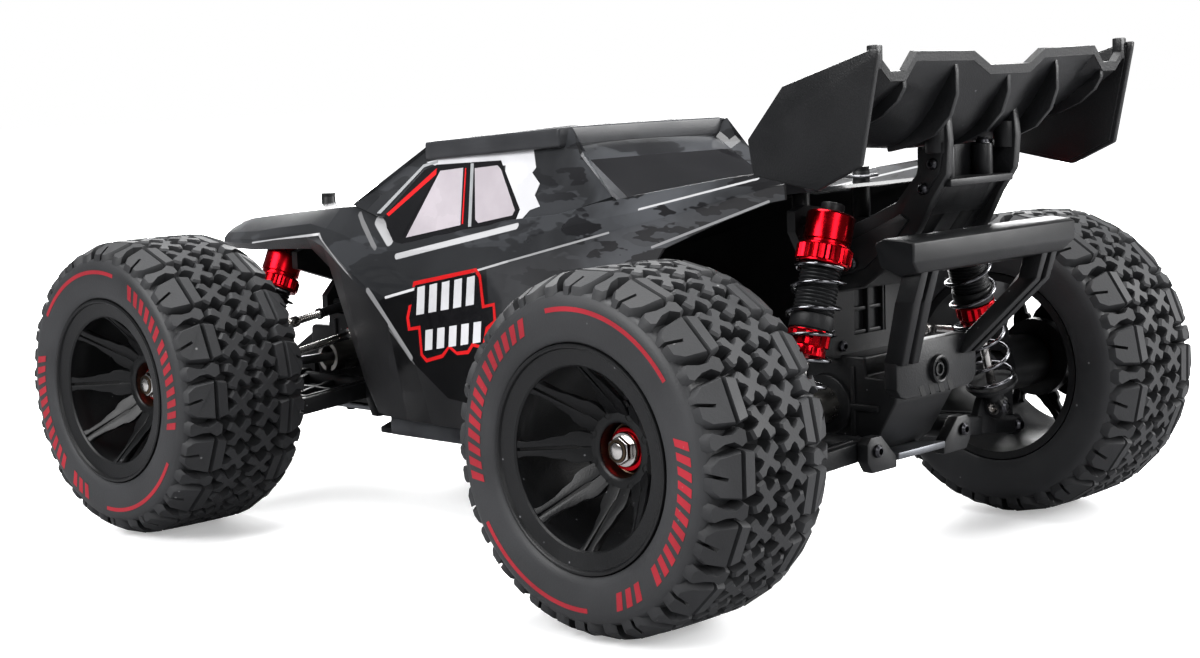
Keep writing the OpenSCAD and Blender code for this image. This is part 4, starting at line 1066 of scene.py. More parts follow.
def door_x(y, z):
    """How far out the door panel stands, a little proud of the skin."""
    belt = 77.4 + (y + 48) * 0.235
    if z > belt:
        return 51 - (z - belt) * 0.155
    low = 44
    return 51 - (belt - z) / (belt - low) * 1.4


def build_door_graphic():
    """A plain graphic of slanted white bars in a red border on both doors."""
    bm = new_mesh()

    def shape(outline, proud, slot_index):
        for side in (1, -1):
            for v in slab(bm, outline, "x", 0, 0.1, slot_index=slot_index):
                v.co.x = side * (door_x(v.co.y, v.co.z) + proud + v.co.x)

    shape([(-33.4, 83.4), (-2.4, 89.2), (-0.2, 87), (0.6, 77.4), (5.4, 78.4), (5.6, 72), (1.6, 69.4), (-0.6, 62.8),
           (-6, 63.4), (-8.4, 60.8), (-14, 60), (-17.6, 62), (-21, 58.6), (-29.4, 56.4), (-32, 58.6), (-32.2, 67.4),
           (-37.4, 66.6), (-37.8, 71)], 0.08, 0)
    shape([(-32.4, 82.2), (-2.9, 87.8), (-1.4, 86.2), (-0.6, 76.2), (4.4, 77.2), (4.4, 72.6), (0.6, 70.2),
           (-1.6, 64), (-6.4, 64.6), (-8.8, 62), (-14, 61.2), (-17.4, 63.2), (-21.4, 59.8), (-28.8, 57.8),
           (-30.8, 59.2), (-31, 68.8), (-36, 67.9), (-36.4, 71)], 0.12, 1)
    # two rows of five bars: start, step, and the bar's other three corners from its first
    rows = [((-32.6, 72.2), (6.1, 1.1), ((3.9, 0.7), (5.3, 10.2), (1.6, 9.4))),
            ((-29.6, 60.4), (5.9, 1.0), ((3.7, 0.7), (4.7, 7.6), (1.1, 7)))]
    for (y0, z0), (step_y, step_z), corners in rows:
        for i in range(5):
            y, z = y0 + i * step_y, z0 + i * step_z
            shape([(y, z)] + [(y + dy, z + dz) for dy, dz in corners], 0.17, 2)
    make_piece("door_graphic", bm, ["print_red", "body_black", "white"], "chassis", smooth=20)


def build_posts():
    """Body posts with collars, and the rear posts' spring clips."""
    bm = new_mesh()
    for y, top in ((-half_base - 10, node_box("front_tower")[1].z), (half_base - 8, node_box("rear_tower")[1].z)):
        for x in (-15, 15):
            place = Matrix.Translation((x, y, 0)) @ ALONG_Z
            turned(bm, [(top - 14, 0), (top - 14, 2.75), (top - 1.6, 2.7), (top - 0.5, 2.1), (top, 1.1),
                        (top + 0.1, 0)], place, 0, 24)
            turned(bm, [(top - 6.2, 2.6), (top - 6.2, 4.6), (top - 5.4, 4.6), (top - 5.2, 2.6)], place, 0, 24,
                   closed=True)
    make_piece("post_caps", bm, ["plastic"], "chassis")
    bm = new_mesh()
    y, z = half_base - 8, node_box("rear_tower")[1].z - 2.9
    for x in (-15, 15):
        for side in (-1, 1):
            rod(bm, 0.55, -4.6, 4.6, Matrix.Translation((x, y + side * 2.9, z)), 0, 10, 0.2)
        rod(bm, 0.55, -3.2, 3.2, Matrix.Translation((x + 4.4, y, z)) @ ALONG_Y, 0, 10, 0.2)
    make_piece("body_clips", bm, ["dark_steel"], "chassis")


# ---------------------------------------------------------------- wing and bumpers


def deep_part(x):
    """How much of the wing's deep middle section remains at x: 1 in the middle, 0 at the tips."""
    share = min(1, max(0, (abs(x) - 24) / 30))
    return 1 - share * share * (3 - 2 * share)


def blade_z(x, t):
    """Height of the wing's upper face from its leading edge, t from 0 to 1."""
    deep = deep_part(x)
    sag = (1 + 2.5 * deep) * math.sin(math.pi * min(t / 0.85, 1))
    return 134 - 3 * deep - sag + (16 + 3 * deep) * t ** (2.2 + 1.6 * deep)


def tail_lift(x):
    """Change of the wing's trailing edge height across its span."""
    steps = [(0, -1.6), (10, -1.6), (18, 2.4), (45, 2.8), (50, -2.2), (57, -2.2), (63.4, 3.2), (70, 3.2)]
    for (x0, z0), (x1, z1) in zip(steps, steps[1:]):
        if x0 <= abs(x) <= x1:
            return z0 + (z1 - z0) * (abs(x) - x0) / (x1 - x0)
    return 0


def build_wing():
    """The wing: a curved blade with a stepped trailing edge, ribs behind it and two end plates."""
    half = wing_half
    bm = new_mesh()
    stations = [-63.4, -60, -57, -50, -45, -32, -18, -10, 0, 10, 18, 32, 45, 50, 57, 60, 63.4]
    steps = [i / 14 for i in range(15)]

    def point(x, t, under):
        lift = tail_lift(x) * max(0, t - 0.5) / 0.5
        z = blade_z(x, t) + lift - (1.9 if under else 0)
        return Vector((x, 126 + 38 * t + (1.3 * t if under else 0), z))

    for under in (False, True):
        sheet(bm, [[point(x, t, under) for x in stations] for t in steps])
    border = [e for e in bm.edges if e.is_boundary]
    bmesh.ops.bridge_loops(bm, edges=border)
    settle(bm)
    lip = []
    for x in stations:
        top = blade_z(x, 1) + tail_lift(x)
        lip.append([Vector((x, 163.2, top - 2)), Vector((x, 165.4, top - 2)), Vector((x, 165.6, top + 0.6)),
                    Vector((x, 163.2, top + 0.8))])
    sheet(bm, [row + [row[0]] for row in lip])
    bmesh.ops.remove_doubles(bm, verts=[v for v in bm.verts], dist=0.02)
    bmesh.ops.holes_fill(bm, edges=[e for e in bm.edges if e.is_boundary])
    settle(bm)
    for x in (-50, -25.5, 0, 25.5, 50):
        deep = deep_part(x)
        curve = [(126 + 38 * t + 0.4, blade_z(x, t) + tail_lift(x) * max(0, t - 0.5) / 0.5 - 0.6)
                 for t in [0.4 + 0.06 * i for i in range(11)]]
        edge = [(165, 147.4, 147.4), (165, 141.4, 144), (162.8, 135.6, 140.6), (157.8, 130.4, 136.8),
                (150, 127.2, 133.6), (142, 125.6, 132.4)]
        depth = [(y, tip + (middle - tip) * deep) for y, middle, tip in edge]
        slab(bm, curve + depth, "x", x - 0.9, x + 0.9, bevel=0.25)
    plate = [(167.4, 154.2), (167, 151.6), (161.2, 124), (146.6, 117.3), (125.2, 121.2), (123.4, 131),
             (135.9, 145.3), (165, 154.2)]
    inner = [(y + (145 - y) * 0.06, z + (137 - z) * 0.06) for y, z in plate]
    for side in (1, -1):
        low, high = sorted((side * (half - 2.2), side * half))
        slab(bm, plate, "x", low, high, bevel=0.55)
        low, high = sorted((side * (half - 2.9), side * (half - 2)))
        slab(bm, inner, "x", low, high, bevel=0.2)
        block(bm, (side * (half - 3.6) - 1.6, 162.4, 149), (side * (half - 3.6) + 1.6, 165.6, 155.4), bevel=0.5)
    for x in (-21, 21):
        for t in (0.32, 0.55):
            screw(bm, Vector((x, 126 + 38 * t, blade_z(x, t) - 0.1)), (0, -0.25, 1), 2.3, 1)
    make_piece("wing_moulded", bm, ["wing", "screw"], "chassis", ["rear_wing"], smooth=32)


def build_wing_mount():
    """Two curved wing struts with a cross flange, a slotted panel and their screws."""
    side = [(115.6, 84), (115.6, 101), (128, 106), (139, 111), (146, 119), (147.6, 125.4), (152, 131), (156.2, 136.4),
            (157, 128.4), (156.2, 119), (151.2, 112), (146.4, 103), (137, 93.5), (126, 86)]
    relief = [(120, 89), (120, 98), (130, 102.4), (141, 107.8), (143.6, 106), (139, 100.6), (128, 91.6)]
    bm = new_mesh()
    for x in (-18.7, 15.5):
        slab(bm, side, "x", x, x + 3.2, bevel=0.5)
    for x, out in ((-18.7, -1), (18.7, 1)):
        low, high = sorted((x, x + out * 0.8))
        slab(bm, relief, "x", low, high, bevel=0.25)
        slab(bm, [(147.6, 121), (153.4, 128.4), (156, 128), (154.4, 119.6), (149.6, 113.4)], "x", low, high,
             bevel=0.25)
    block(bm, (-16, 147.4, 115.4), (16, 156, 117.6), bevel=0.5)
    block(bm, (-16, 144.6, 117.2), (16, 146.6, 126.6), bevel=0.5)
    panel = [(129, 90), (139.5, 98.6), (149, 111.6), (151.6, 115.6), (148.6, 115.6), (137.4, 101), (127.6, 92.6)]
    for low, high in ((-16, -11.4), (-4.2, 4.2), (11.4, 16)):
        slab(bm, panel, "x", low, high, bevel=0.3)
    cross = [(129, 90), (133, 93.2), (130.6, 95.8), (127.6, 92.6)]
    upper = [(145.6, 106.8), (151.6, 115.6), (148.6, 115.6), (143, 108.2)]
    for outline in (cross, upper):
        slab(bm, outline, "x", -16, 16, bevel=0.3)
    block(bm, (-24, 115.6, 84), (24, 118.2, 92), bevel=0.4)
    for x in (-17.1, 17.1):
        rod(bm, 3.6, 125, 132.6, Matrix.Translation((x, 152.6, 0)) @ ALONG_Z, 0, 24)
    for x in (-9.6, 9.6):
        place = Matrix.Translation((x, 149.6, 120.4)) @ ALONG_Z
        rod(bm, 3.0, -3, 6, place, 0, 24)
        screw(bm, Vector((x, 149.6, 126.6)), (0, 0, 1), 2.0, 1)
        screw(bm, Vector((x, 146.7, 122)), (0, 1, 0), 1.7, 1)
    for x, out in ((-19.4, -1), (19.4, 1)):
        for y, z in ((152.4, 122), (124, 93), (149, 115)):
            screw(bm, Vector((x, y, z)), (out, 0, 0), 1.7, 1)
    make_piece("wing_mount_moulded", bm, ["plastic", "screw"], "chassis", ["wing_mount"], smooth=32)


def lean(bm, verts, place):
    """Leans a bumper leg's part to the rear as it rises, then puts it on its side."""
    for v in verts:
        v.co.y += 138 + (v.co.z - 64) * 0.72 - max(0, v.co.z - 86) * 0.45
    bmesh.ops.transform(bm, matrix=place, verts=verts)


def build_rear_bumper():
    """The rear bumper: a faceted bar on two ribbed legs from a plate with rings round a dark disc, painted shade that
    stands for a hole.
    """
    bar = node_box("rear_bumper")[1].x
    bm = new_mesh()
    section = [(148.8, 94.6), (148.8, 101.4), (152, 103), (159, 102.6), (161, 101.9), (161, 96.5), (159.4, 93.3),
               (152, 91.6)]
    verts = slab(bm, section, "x", -bar, bar, bevel=0.45)
    for v in verts:
        if abs(v.co.x) > bar - 2:
            cut = max(0.0, 96.6 - v.co.z) * 1.5 + max(0.0, v.co.y - 157) * 0.35
            v.co.x -= math.copysign(cut, v.co.x)
    for side in (1, -1):
        place = Matrix.Diagonal((side, 1, 1, 1))
        for x in (0.0, 5.2):
            lower = [(11.4 + x, 64), (14.6 + x, 64), (29.6 + x, 84.6), (29.6 + x, 94.4), (26.4 + x, 94.4),
                     (26.4 + x, 85.6)]
            lean(bm, slab(bm, lower, "y", -3.2, 3.2, bevel=0.45), place)
        web = [(13.4, 64), (18.6, 64), (33.4, 84.6), (33.4, 94.4), (27.8, 94.4), (27.8, 86)]
        lean(bm, slab(bm, web, "y", -2.6, 0.6, bevel=0.2), place)
    half = [(0, 53.8), (15.6, 53.8), (18.4, 54.6), (20.3, 57), (20.3, 66), (17.4, 68.6), (14, 70), (0, 70)]
    outline = half + [(-x, z) for x, z in reversed(half[1:-1])]
    slab(bm, outline, "y", 135.1, 139.6, slot_index=2, bevel=0.5)
    ring = Matrix.Translation((0, 0, 60.8)) @ ALONG_Y
    turned(bm, [(139.4, 3.1), (141, 3.3), (141.2, 3.7), (141, 4.2), (139.4, 4.4)], ring, 2, 36, closed=True)
    # a dark disc inside the rings: painted shade standing for the hole
    turned(bm, [(139.5, 3.2), (139.75, 3.1), (139.75, 0)], ring, 3, 32)
    turned(bm, [(139.7, 2.2), (140.6, 2.0), (140.6, 1.5), (139.7, 1.4)], ring, 2, 24, closed=True)
    # four dark slanted marks at the plate's foot: painted shade standing for slots
    for i in range(4):
        x = -8.6 + i * 4.8
        slab(bm, [(x, 53.7), (x + 2.4, 53.7), (x + 3.9, 56.8), (x + 1.5, 56.8)], "y", 139.2, 139.68, slot_index=3)
    make_piece("rear_bumper_moulded", bm, ["plastic", "screw", "wing", "painted_shade"], "chassis",
               ["rear_bumper"], smooth=32)


def build_front_bumper():
    """The front bumper: a dished skid plate with a rolled rim, ribs, and rings round dark discs, painted shade that
    stands for holes.
    """
    low, high = node_box("front_bumper")
    front = low.y - mid_y
    rear = high.y - mid_y
    wide = high.x
    half = [(0, front), (wide - 13, front), (wide - 4, front + 5), (wide, front + 13), (wide, rear - 24),
            (21, rear - 12), (14, rear - 0.4), (0, rear - 0.4)]
    outline = half + [(-x, y) for x, y in reversed(half[1:-1])]
    bm = new_mesh()
    slab(bm, outline, "z", 29, 32.2, bevel=0.7)
    rim = [(wide - 13, front), (wide - 4, front + 5), (wide, front + 13), (wide, rear - 24)]
    loop = [(-wide, rear - 24), (-wide, front + 13), (-wide + 4, front + 5), (-wide + 13, front)] + rim
    inner = [(x * 0.93, y + 2.8 if y < rear - 25 else y) for x, y in loop]
    slab(bm, loop + list(reversed(inner)), "z", 31, 43, bevel=0.6)
    for x in (-26, -13.4, 10.6, 23.4):
        slab(bm, [(rear - 0.4, 31), (rear - 0.4, 56 if abs(x) < 20 else 40), (rear - 12, 49 if abs(x) < 20 else 38),
                  (front + 3, 41), (front + 3, 31)], "x", x, x + 2.6, bevel=0.4)
    for x in (-18, 0, 18):
        place = Matrix.Translation((x, front + 12, 0)) @ ALONG_Z
        turned(bm, [(32, 3.0), (33.4, 3.0), (33.4, 4.2), (32, 4.4)], place, 0, 28, closed=True)
        # a dark disc inside the ring: painted shade standing for the hole
        turned(bm, [(32.3, 3.0), (32.3, 0)], place, 2, 24)
        screw(bm, Vector((x, front + 32, 32.2)), (0, 0, 1), 1.8, 1)
    make_piece("front_bumper_moulded", bm, ["plastic", "screw", "painted_shade"], "chassis",
               ["front_bumper"], smooth=32)


# ---------------------------------------------------------------- suspension


def arm_shape(corner):
    """A lower arm: an A frame of rails with cross ribs, a shock lug and screws."""
    inner = joint_place("arm_" + corner + "_swing")
    hub = ("c_hub_" if corner[0] == "f" else "rear_hub_") + corner
    outer = joint_place(hub + "_pivot")
    span = abs(outer.x - inner.x)
    length = math.hypot(span, outer.z - inner.z)
    drop = math.atan2(inner.z - outer.z, span)
    own = Matrix.Translation((abs(inner.x), 0, inner.z)) @ Matrix.Rotation(drop, 4, "Y")
    return corner_frame(corner) @ own, length


def build_arm(corner):
    """A moulded lower arm with its hinge pins."""
    place, length = arm_shape(corner)
    bm = new_mesh()
    rod(bm, 3.5, -19, 19, ALONG_Y, 0, 28, 0.5)
    for low, high in ((-8.2, -5.2), (5.2, 8.2)):
        rod(bm, 3.5, low, high, Matrix.Translation((length, 0, 0)) @ ALONG_Y, 0, 24, 0.4)
    for m in (1, -1):
        rail = [(0, m * 18.6), (4, m * 19), (24, m * 13), (length - 14, m * 8.4), (length + 0.6, m * 8.2),
                (length + 0.6, m * 5.3), (length - 8, m * 5.2), (length - 16, m * 5.4), (24, m * 9.4), (3, m * 15)]
        slab(bm, rail, "z", -2.9, 2.9, bevel=0.5)
        slab(bm, [(2, m * 17), (24, m * 10.6), (24, m * 9.2), (2, m * 14.6)], "z", -3.3, 3.3, bevel=0.3)
        slab(bm, [(4, m * 1.2), (length - 8, m * 1.2), (length - 8, m * 5.6), (4, m * 15.6)], "z", -1.0, 0.6,
             bevel=0.2)
    for x, reach in ((11, 13.2), (21, 10.2), (32, 8.2)):
        slab(bm, [(x, -reach), (x + 1.5, -reach), (x + 1.5, reach), (x, reach)], "z", -2.2, 2.4, bevel=0.25)
    slab(bm, [(3, -1), (length - 7, -1), (length - 7, 1), (3, 1)], "z", -2.2, 2.4, bevel=0.25)
    block(bm, (length - 12, -5.2, -2.9), (length - 7.4, 5.2, 2.9), bevel=0.5)
    # the shock's lower eye, as the arm lies level and as it droops
    eye_x, eye_z = 31.5, 2
    u = eye_x * math.cos(ARM_DROP) - eye_z * math.sin(ARM_DROP)
    w = eye_x * math.sin(ARM_DROP) + eye_z * math.cos(ARM_DROP)
    slab(bm, [(u - 6.5, -2.5), (u + 6.5, -2.5), (u + 3.9, w + 1), (u + 2.6, w + 3.4), (u, w + 4), (u - 2.6, w + 3.4),
              (u - 3.9, w + 1)], "y", 9, 11.7, bevel=0.45)
    rod(bm, 1.5, 11, 18, Matrix.Translation((u, 0, w)) @ ALONG_Y, 1, 16)
    screw(bm, Vector((u, 17.4, w)), (0, 1, 0), 2.4, 2)
    rod(bm, 1.5, -23, 23, ALONG_Y, 1, 16)
    rod(bm, 1.5, -8.8, 8.8, Matrix.Translation((length, 0, 0)) @ ALONG_Y, 1, 16)
    for y in (-8.6, 8.6):
        screw(bm, Vector((length, y, 0)), (0, math.copysign(1, y), 0), 2.1, 2)
    screw(bm, Vector((length - 10, -5.2, 0)), (0, -1, 0), 1.6, 2)
    make_piece("lower_arm_moulded_" + corner, bm, ["plastic", "steel", "screw"], "arm_" + corner,
               ["lower_arm_" + corner], TRUCK @ place, 32)


def build_link(corner):
    """An upper link: a threaded turnbuckle with moulded ends."""
    joint = joint_place("upper_link_" + corner + "_swing")
    end = CORNERS[corner][1]
    length = arm_shape(corner)[1]
    at = (abs(joint.x), (joint.y - mid_y) * end - half_base, joint.z)
    own = Matrix.Translation(at) @ Matrix.Rotation(ARM_DROP, 4, "Y")
    bm = new_mesh()
    for x in (0, length):
        turned(bm, [(-2.3, 1.6), (-2.3, 2.8), (-1.7, 3.3), (1.7, 3.3), (2.3, 2.8), (2.3, 1.6)],
               Matrix.Translation((x, 0, 0)) @ ALONG_Y, 0, 24, closed=True)
    turned(bm, [(2.8, 0), (2.8, 1.9), (14, 1.7), (14.4, 2.1), (15.4, 2.1), (15.6, 0)], STILL, 0, 20)
    turned(bm, [(length - 2.8, 0), (length - 2.8, 1.9), (length - 14, 1.7), (length - 14.4, 2.1),
                (length - 15.4, 2.1), (length - 15.6, 0)], STILL, 0, 20)
    threads(bm, 15, length - 15, 1.45, 0.9, STILL, 1)
    slab(bm, hexagon(2.1), "x", length / 2 - 2, length / 2 + 2, slot_index=1, bevel=0.2)
    make_piece("upper_link_fitted_" + corner, bm, ["plastic", "steel"], "upper_link_" + corner,
               ["upper_link_" + corner], TRUCK @ corner_frame(corner) @ own, 32)


def build_cases():
    """The two gearbox cases with their seams, ribs and bearing bosses, and the rear tower's brace."""
    top = node_box("gearbox_cases")[1].z
    bm = new_mesh()
    for end in (-1, 1):
        place = Matrix.Translation((0, end * half_base, 0)) @ Matrix.Diagonal((1, end, 1, 1))
        low = 35 if end > 0 else 31
        shape = [(-13, low), (12, low), (17, low + 4), (25, low + 17), (25, top - 7.2), (23.6, top - 6),
                 (14.5, top - 6), (14, top), (-11, top), (-13, top - 2)]
        slab(bm, shape, "x", -14.5, 14.5, place, bevel=0.8, segments=3)
        block(bm, (-15.3, -13.6, axle_z - 1), (15.3, 19, axle_z + 1), place, bevel=0.4)
        for y in (-9, 9):
            block(bm, (-15.2, y, low + 2), (15.2, y + 1.6, top - 3), place, bevel=0.3)
        rod(bm, 9.2, -16, 16, place @ Matrix.Translation((0, 0, axle_z)), 0, 40, 0.8)
        turned(bm, [(-13, 7), (-16, 6), (-16, 3.2), (-13, 3.2)],
               place @ Matrix.Translation((0, 0, axle_z)) @ ALONG_Y, 0, 32, closed=True)
        for x in (-15.4, 15.4):
            for y, z in ((-10, top - 5), (12, low + 5), (-10, low + 5)):
                screw(bm, place @ Vector((x, y, z)), (math.copysign(1, x), 0, 0), 1.5, 1)
    for x in (-8.6, 6):
        block(bm, (x, -half_base + 12, axle_z + 5.2), (x + 2.6, -half_base + 20.6, axle_z + 13.2), bevel=0.5)
        block(bm, (x, -half_base + 24.4, axle_z + 5.2), (x + 2.6, -half_base + 26, axle_z + 13.2), bevel=0.5)
        block(bm, (x, -half_base + 12, axle_z + 4), (x + 2.6, -half_base + 26, axle_z + 7.4), bevel=0.5)
    block(bm, (-8.6, half_base + 1, top - 1), (8.6, half_base + 3.4, 98), bevel=0.5)
    for z in (70, 77, 84, 91):
        block(bm, (-8.2, half_base + 3, z), (8.2, half_base + 4.6, z + 1.2), bevel=0.3)
    for x in (-8.2, -0.6, 7):
        block(bm, (x, half_base + 3, top), (x + 1.2, half_base + 5.2, 97), bevel=0.3)
    make_piece("gearbox_cases_moulded", bm, ["plastic", "screw"], "chassis", ["gearbox_cases"],
               smooth=32)


def build_chassis():
    """The chassis plate with rolled edges, its rise at the rear and the blocks that hold the hinge pins."""
    low = node_box("chassis_plate")[0]
    end_y = half_base + 24
    half = [(12, -end_y), (12, -half_base + 26), (18, -half_base + 30), (40.5, -half_base + 44),
            (40.5, half_base - 44), (18, half_base - 30), (12, half_base - 26), (12, end_y)]
    bm = new_mesh()
    slab(bm, half + [(-x, y) for x, y in reversed(half)], "z", low.z + 0.8, low.z + 3, bevel=0.5)
    for x in (-41, 39):
        block(bm, (x, -60, low.z + 0.8), (x + 2, 60, low.z + 7.6), bevel=0.6)
    for start in (64, -64):
        bmesh.ops.bisect_plane(bm, geom=bm.verts[:] + bm.edges[:] + bm.faces[:], plane_co=(0, start, 0),
                               plane_no=(0, 1, 0))
    for y in (-48, -12, 24, 60):
        block(bm, (-36, y - 1, low.z + 2.6), (36, y + 1, low.z + 3.2), bevel=0.2)
    fresh(bm)
    fresh(bm, "faces")
    for v in bm.verts:
        v.co.z += max(0.0, v.co.y - 64) * 0.1
    pins = 39
    for end in (-1, 1):
        lift = 5.6 if end > 0 else 2
        for side in (-1, 1):
            for y in (-23.4, 19.6):
                y0 = end * half_base + y
                cheek = [(17, low.z + lift), (24, low.z + lift), (26.4, pins - 3), (26.4, pins + 2.4),
                         (24.4, pins + 4.2), (19.6, pins + 4.2), (12, low.z + lift + 3.4), (12, low.z + lift)]
                slab(bm, [(side * x, z) for x, z in cheek], "y", y0, y0 + 3.8, slot_index=1, bevel=0.5)
                screw(bm, Vector((side * 22, y0 + (3.8 if y > 0 else 0), pins)), (0, 1 if y > 0 else -1, 0), 2, 2)
    make_piece("chassis_plate_formed", bm, ["grey_alloy", "plastic", "screw"], "chassis",
               ["chassis_plate"], smooth=30)


def build_fasteners():
    """Screw heads on the towers and cases."""
    bm = new_mesh()
    for end in (-1, 1):
        face_y = end * (half_base + 5.6)
        for x in (-14, 14):
            screw(bm, Vector((x, face_y, 67.5)), (0, end, 0), 1.7)
            screw(bm, Vector((x * 1.4, face_y, 72)), (0, end, 0), 1.5)
        case_end = end * (half_base + 25)
        for x in (-11.6, 11.6):
            screw(bm, Vector((x, case_end, 55.4)), (0, end, 0), 1.4)
    low = node_box("chassis_plate")[0]
    for y in (-120, -100, -60, -20, 20, 60):
        for x in (-9, 9):
            screw(bm, Vector((x, y, low.z + 1.2)), (0, 0, -1), 2.0)
    make_piece("frame_screws", bm, ["screw"], "chassis", smooth=35)


# ---------------------------------------------------------------- stage

CAMERA_AZIMUTH, CAMERA_ELEVATION, CAMERA_ROLL = 134.29, 7.175, -1.974
CAMERA_PLACE = (508.85, 499.57, 152.62)


def add_light(name, place, target, size, power):
    """A soft square light aimed at a point."""
    data = bpy.data.lights.new(name, "AREA")
    data.size = size
    data.energy = power
    obj = bpy.data.objects.new(name, data)
    obj.location = place
    obj.rotation_euler = (Vector(target) - Vector(place)).to_track_quat("-Z", "Y").to_euler()
    obj.visible_camera = False
    bpy.context.scene.collection.objects.link(obj)


def build_stage():
    """A pale floor, soft lights and the camera."""
    bm = new_mesh()
    bmesh.ops.create_grid(bm, x_segments=1, y_segments=1, size=6)
    mesh = bpy.data.meshes.new("floor")
    bm.to_mesh(mesh)
    bm.free()
    floor = bpy.data.objects.new("floor", mesh)
    bpy.context.scene.collection.objects.link(floor)
    finish = bpy.data.materials.new("pale_floor")
    finish.use_nodes = True
    shader = finish.node_tree.nodes["Principled BSDF"]
    shader.inputs["Roughness"].default_value = 0.6
    shader.inputs["Emission Color"].default_value = (1, 1, 1, 1)
    nodes = finish.node_tree
    # To the camera the floor is pale and glows, the more the farther from the middle: painted light that fades it into
    # white and lightens the car's shadows on it. To other rays it is a dark grey.
    seen = nodes.nodes.new("ShaderNodeLightPath").outputs["Is Camera Ray"]
    reach = add(nodes, "ShaderNodeVectorMath", [(0, nodes.nodes.new("ShaderNodeTexCoord").outputs["Object"])],
                operation="LENGTH").outputs["Value"]
    painted_floor_glow = ramp(nodes, reach, 0.35, 1.5, 0.34, 1.0)
    nodes.links.new(maths(nodes, "MULTIPLY", painted_floor_glow, seen), shader.inputs["Emission Strength"])
    shade = blend_colour(nodes, seen, (0.3, 0.3, 0.31, 1), (0.86, 0.86, 0.865, 1))
    nodes.links.new(shade, shader.inputs["Base Color"])
    mesh.materials.append(finish)
    world = bpy.data.worlds.new("studio")
    world.use_nodes = True
    tree = world.node_tree
    surround = tree.nodes["Background"]
    surround.inputs[0].default_value = (0.95, 0.96, 1, 1)
    surround.inputs[1].default_value = 0.16
    backdrop = tree.nodes.new("ShaderNodeBackground")
    backdrop.inputs[0].default_value = (1, 1, 1, 1)
    seen = tree.nodes.new("ShaderNodeMixShader")
    tree.links.new(tree.nodes.new("ShaderNodeLightPath").outputs["Is Camera Ray"], seen.inputs[0])
    tree.links.new(surround.outputs[0], seen.inputs[1])
    tree.links.new(backdrop.outputs[0], seen.inputs[2])
    tree.links.new(seen.outputs[0], tree.nodes["World Output"].inputs[0])
    bpy.context.scene.world = world
    bpy.context.scene.view_settings.view_transform = "Standard"
    middle = (0, 0, 0.06)
    add_light("key", (1.25, -0.15, 0.95), middle, 0.9, 26)
    add_light("fill", (0.5, 1.5, 0.7), middle, 0.6, 8)
    add_light("rim", (-0.9, 0.9, 0.8), middle, 0.7, 20)
    add_light("top", (0, -0.1, 1.4), middle, 1.1, 32)
    add_light("backdrop", (-1.5, -1.45, 0.5), middle, 1.5, 75)
    add_light("low", (-1.15, 1.1, 0.4), middle, 0.6, 13)
    camera = bpy.data.cameras.new("camera")
    camera.sensor_width = 36
    camera.lens = 62.93
    camera.shift_x = 0.0155
    camera.shift_y = 0.0007
    camera.clip_start = 0.01
    obj = bpy.data.objects.new("camera", camera)
    a, e = math.radians(CAMERA_AZIMUTH), math.radians(CAMERA_ELEVATION)
    back = Vector((math.sin(a) * math.cos(e), -math.cos(a) * math.cos(e), math.sin(e)))
    obj.rotation_mode = "QUATERNION"
    turn = (-back).to_track_quat("-Z", "Y").to_matrix() @ Matrix.Rotation(math.radians(CAMERA_ROLL), 3, "Z")
    obj.rotation_quaternion = turn.to_quaternion()
    obj.location = Vector(CAMERA_PLACE) * MM
    bpy.context.scene.collection.objects.link(obj)
    bpy.context.scene.camera = obj


# ---------------------------------------------------------------- operators


class TRUCK_OT_wheels(bpy.types.Operator):
    """Build the four wheels: tyres, rims and axles"""

    bl_idname = "truck.wheels"
    bl_label = "Wheels"

    def execute(self, context):
        for corner in CORNERS:
            build_tyre(corner, context.scene.truck_sizes)
            build_rim(corner, context.scene.truck_sizes)
            build_axle(corner)
        return {"FINISHED"}


class TRUCK_OT_shocks(bpy.types.Operator):
    """Build the four coil-over shocks"""

    bl_idname = "truck.shocks"
    bl_label = "Shocks"

    def execute(self, context):
        springs = [build_shock(corner) for corner in CORNERS]
        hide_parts("shock_springs")
        return {"FINISHED"}


class TRUCK_OT_body(bpy.types.Operator):
    """Build the body shell with its windows, roof and graphics"""

    bl_idname = "truck.body"
    bl_label = "Body"

    def execute(self, context):
        build_lower_body(context.scene.truck_sizes)
        build_cab(context.scene.truck_sizes)
        build_roof()
        build_windows()
        build_door_graphic()
        build_posts()
        return {"FINISHED"}


class TRUCK_OT_wing(bpy.types.Operator):
    """Build the rear wing and its mount"""

    bl_idname = "truck.wing"
    bl_label = "Wing"

    def execute(self, context):
        build_wing()
        build_wing_mount()
        return {"FINISHED"}


class TRUCK_OT_bumpers(bpy.types.Operator):
    """Build the front and rear bumpers"""

    bl_idname = "truck.bumpers"
    bl_label = "Bumpers"

    def execute(self, context):
        build_rear_bumper()
        build_front_bumper()
        return {"FINISHED"}


class TRUCK_OT_suspension(bpy.types.Operator):
    """Build the lower arms, upper links and screws"""

    bl_idname = "truck.suspension"
    bl_label = "Suspension"

    def execute(self, context):
        for corner in CORNERS:
            build_arm(corner)
            build_link(corner)
        build_cases()
        build_chassis()
        build_fasteners()
        return {"FINISHED"}


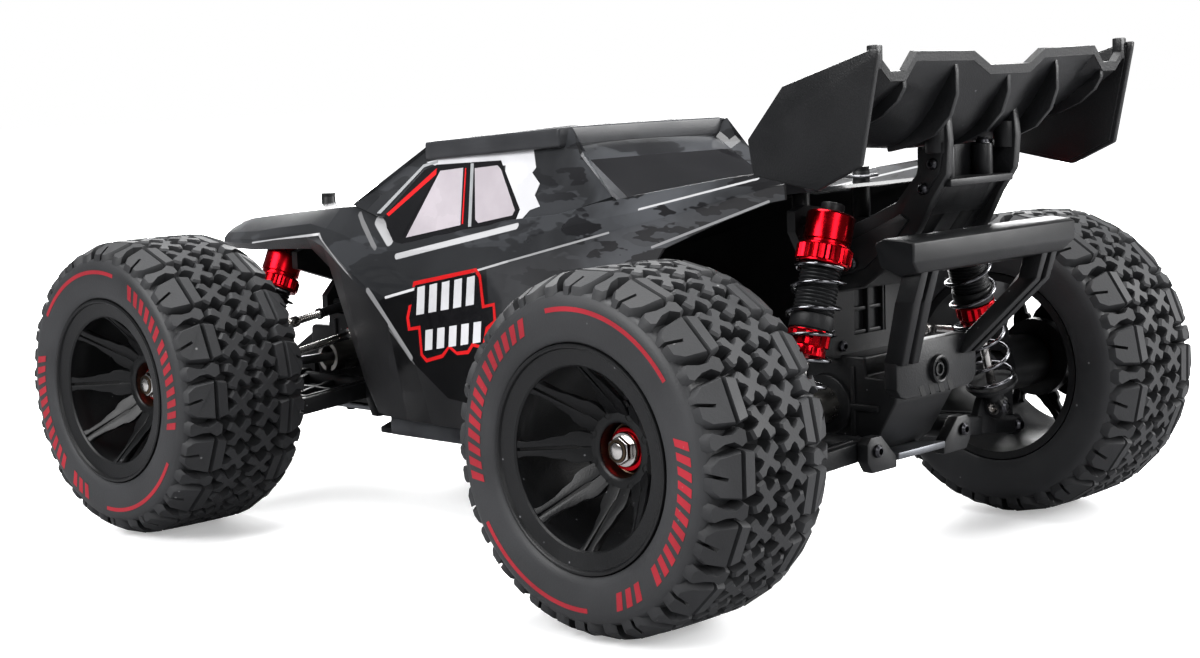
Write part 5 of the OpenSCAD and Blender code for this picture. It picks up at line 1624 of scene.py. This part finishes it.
# Finishes of the frame's own nodes, by the start of their names
NODE_FINISHES = {
    "c_hub": "plastic", "knuckle": "grey_alloy", "rear_hub": "plastic", "drive_shaft": "dark_steel",
    "diff": "gear_steel", "center_shaft": "gear_steel", "motor_pinion": "gear_steel", "steering_rack": "grey_alloy",
    "servo_horn": "horn", "tie_rod": "steel",
    "front_tower": "plastic", "rear_tower": "plastic", "motor": "motor_can", "battery": "battery",
    "esc_receiver": "case", "steering_servo": "case",
}


class TRUCK_OT_finishes(bpy.types.Operator):
    """Give the frame's own nodes their finishes"""

    bl_idname = "truck.finishes"
    bl_label = "Finishes"

    def execute(self, context):
        for name, obj in frame["nodes"].items():
            starts = [start for start in NODE_FINISHES if name.startswith(start)]
            if starts:
                obj.data.materials.clear()
                obj.data.materials.append(material(NODE_FINISHES[max(starts, key=len)]))
        return {"FINISHED"}


class TRUCK_OT_stage(bpy.types.Operator):
    """Set up the floor, lights and camera"""

    bl_idname = "truck.stage"
    bl_label = "Stage"

    def execute(self, context):
        build_stage()
        return {"FINISHED"}


OPERATORS = (TRUCK_OT_stage, TRUCK_OT_wheels, TRUCK_OT_shocks, TRUCK_OT_body, TRUCK_OT_wing, TRUCK_OT_bumpers,
             TRUCK_OT_suspension, TRUCK_OT_finishes)


class TRUCK_PT_panel(bpy.types.Panel):
    """The truck's steps in the sidebar"""

    bl_label = "Off-road truck"
    bl_idname = "TRUCK_PT_panel"
    bl_space_type = "VIEW_3D"
    bl_region_type = "UI"
    bl_category = "Truck"

    def draw(self, context):
        for settings in (context.scene.truck_sizes, context.scene.truck_colours):
            for name in settings.__annotations__:
                self.layout.prop(settings, name)
        for operator in OPERATORS:
            self.layout.operator(operator.bl_idname)


CLASSES = (TruckSizes, TruckColours, *OPERATORS, TRUCK_PT_panel)


def register():
    for cls in CLASSES:
        bpy.utils.register_class(cls)
    bpy.types.Scene.truck_sizes = bpy.props.PointerProperty(type=TruckSizes)
    bpy.types.Scene.truck_colours = bpy.props.PointerProperty(type=TruckColours)


def unregister():
    del bpy.types.Scene.truck_colours
    del bpy.types.Scene.truck_sizes
    for cls in reversed(CLASSES):
        bpy.utils.unregister_class(cls)


def main():
    register()
    for operator in OPERATORS:
        group, name = operator.bl_idname.split(".")
        getattr(getattr(bpy.ops, group), name)()


if __name__ == "__main__":
    main()
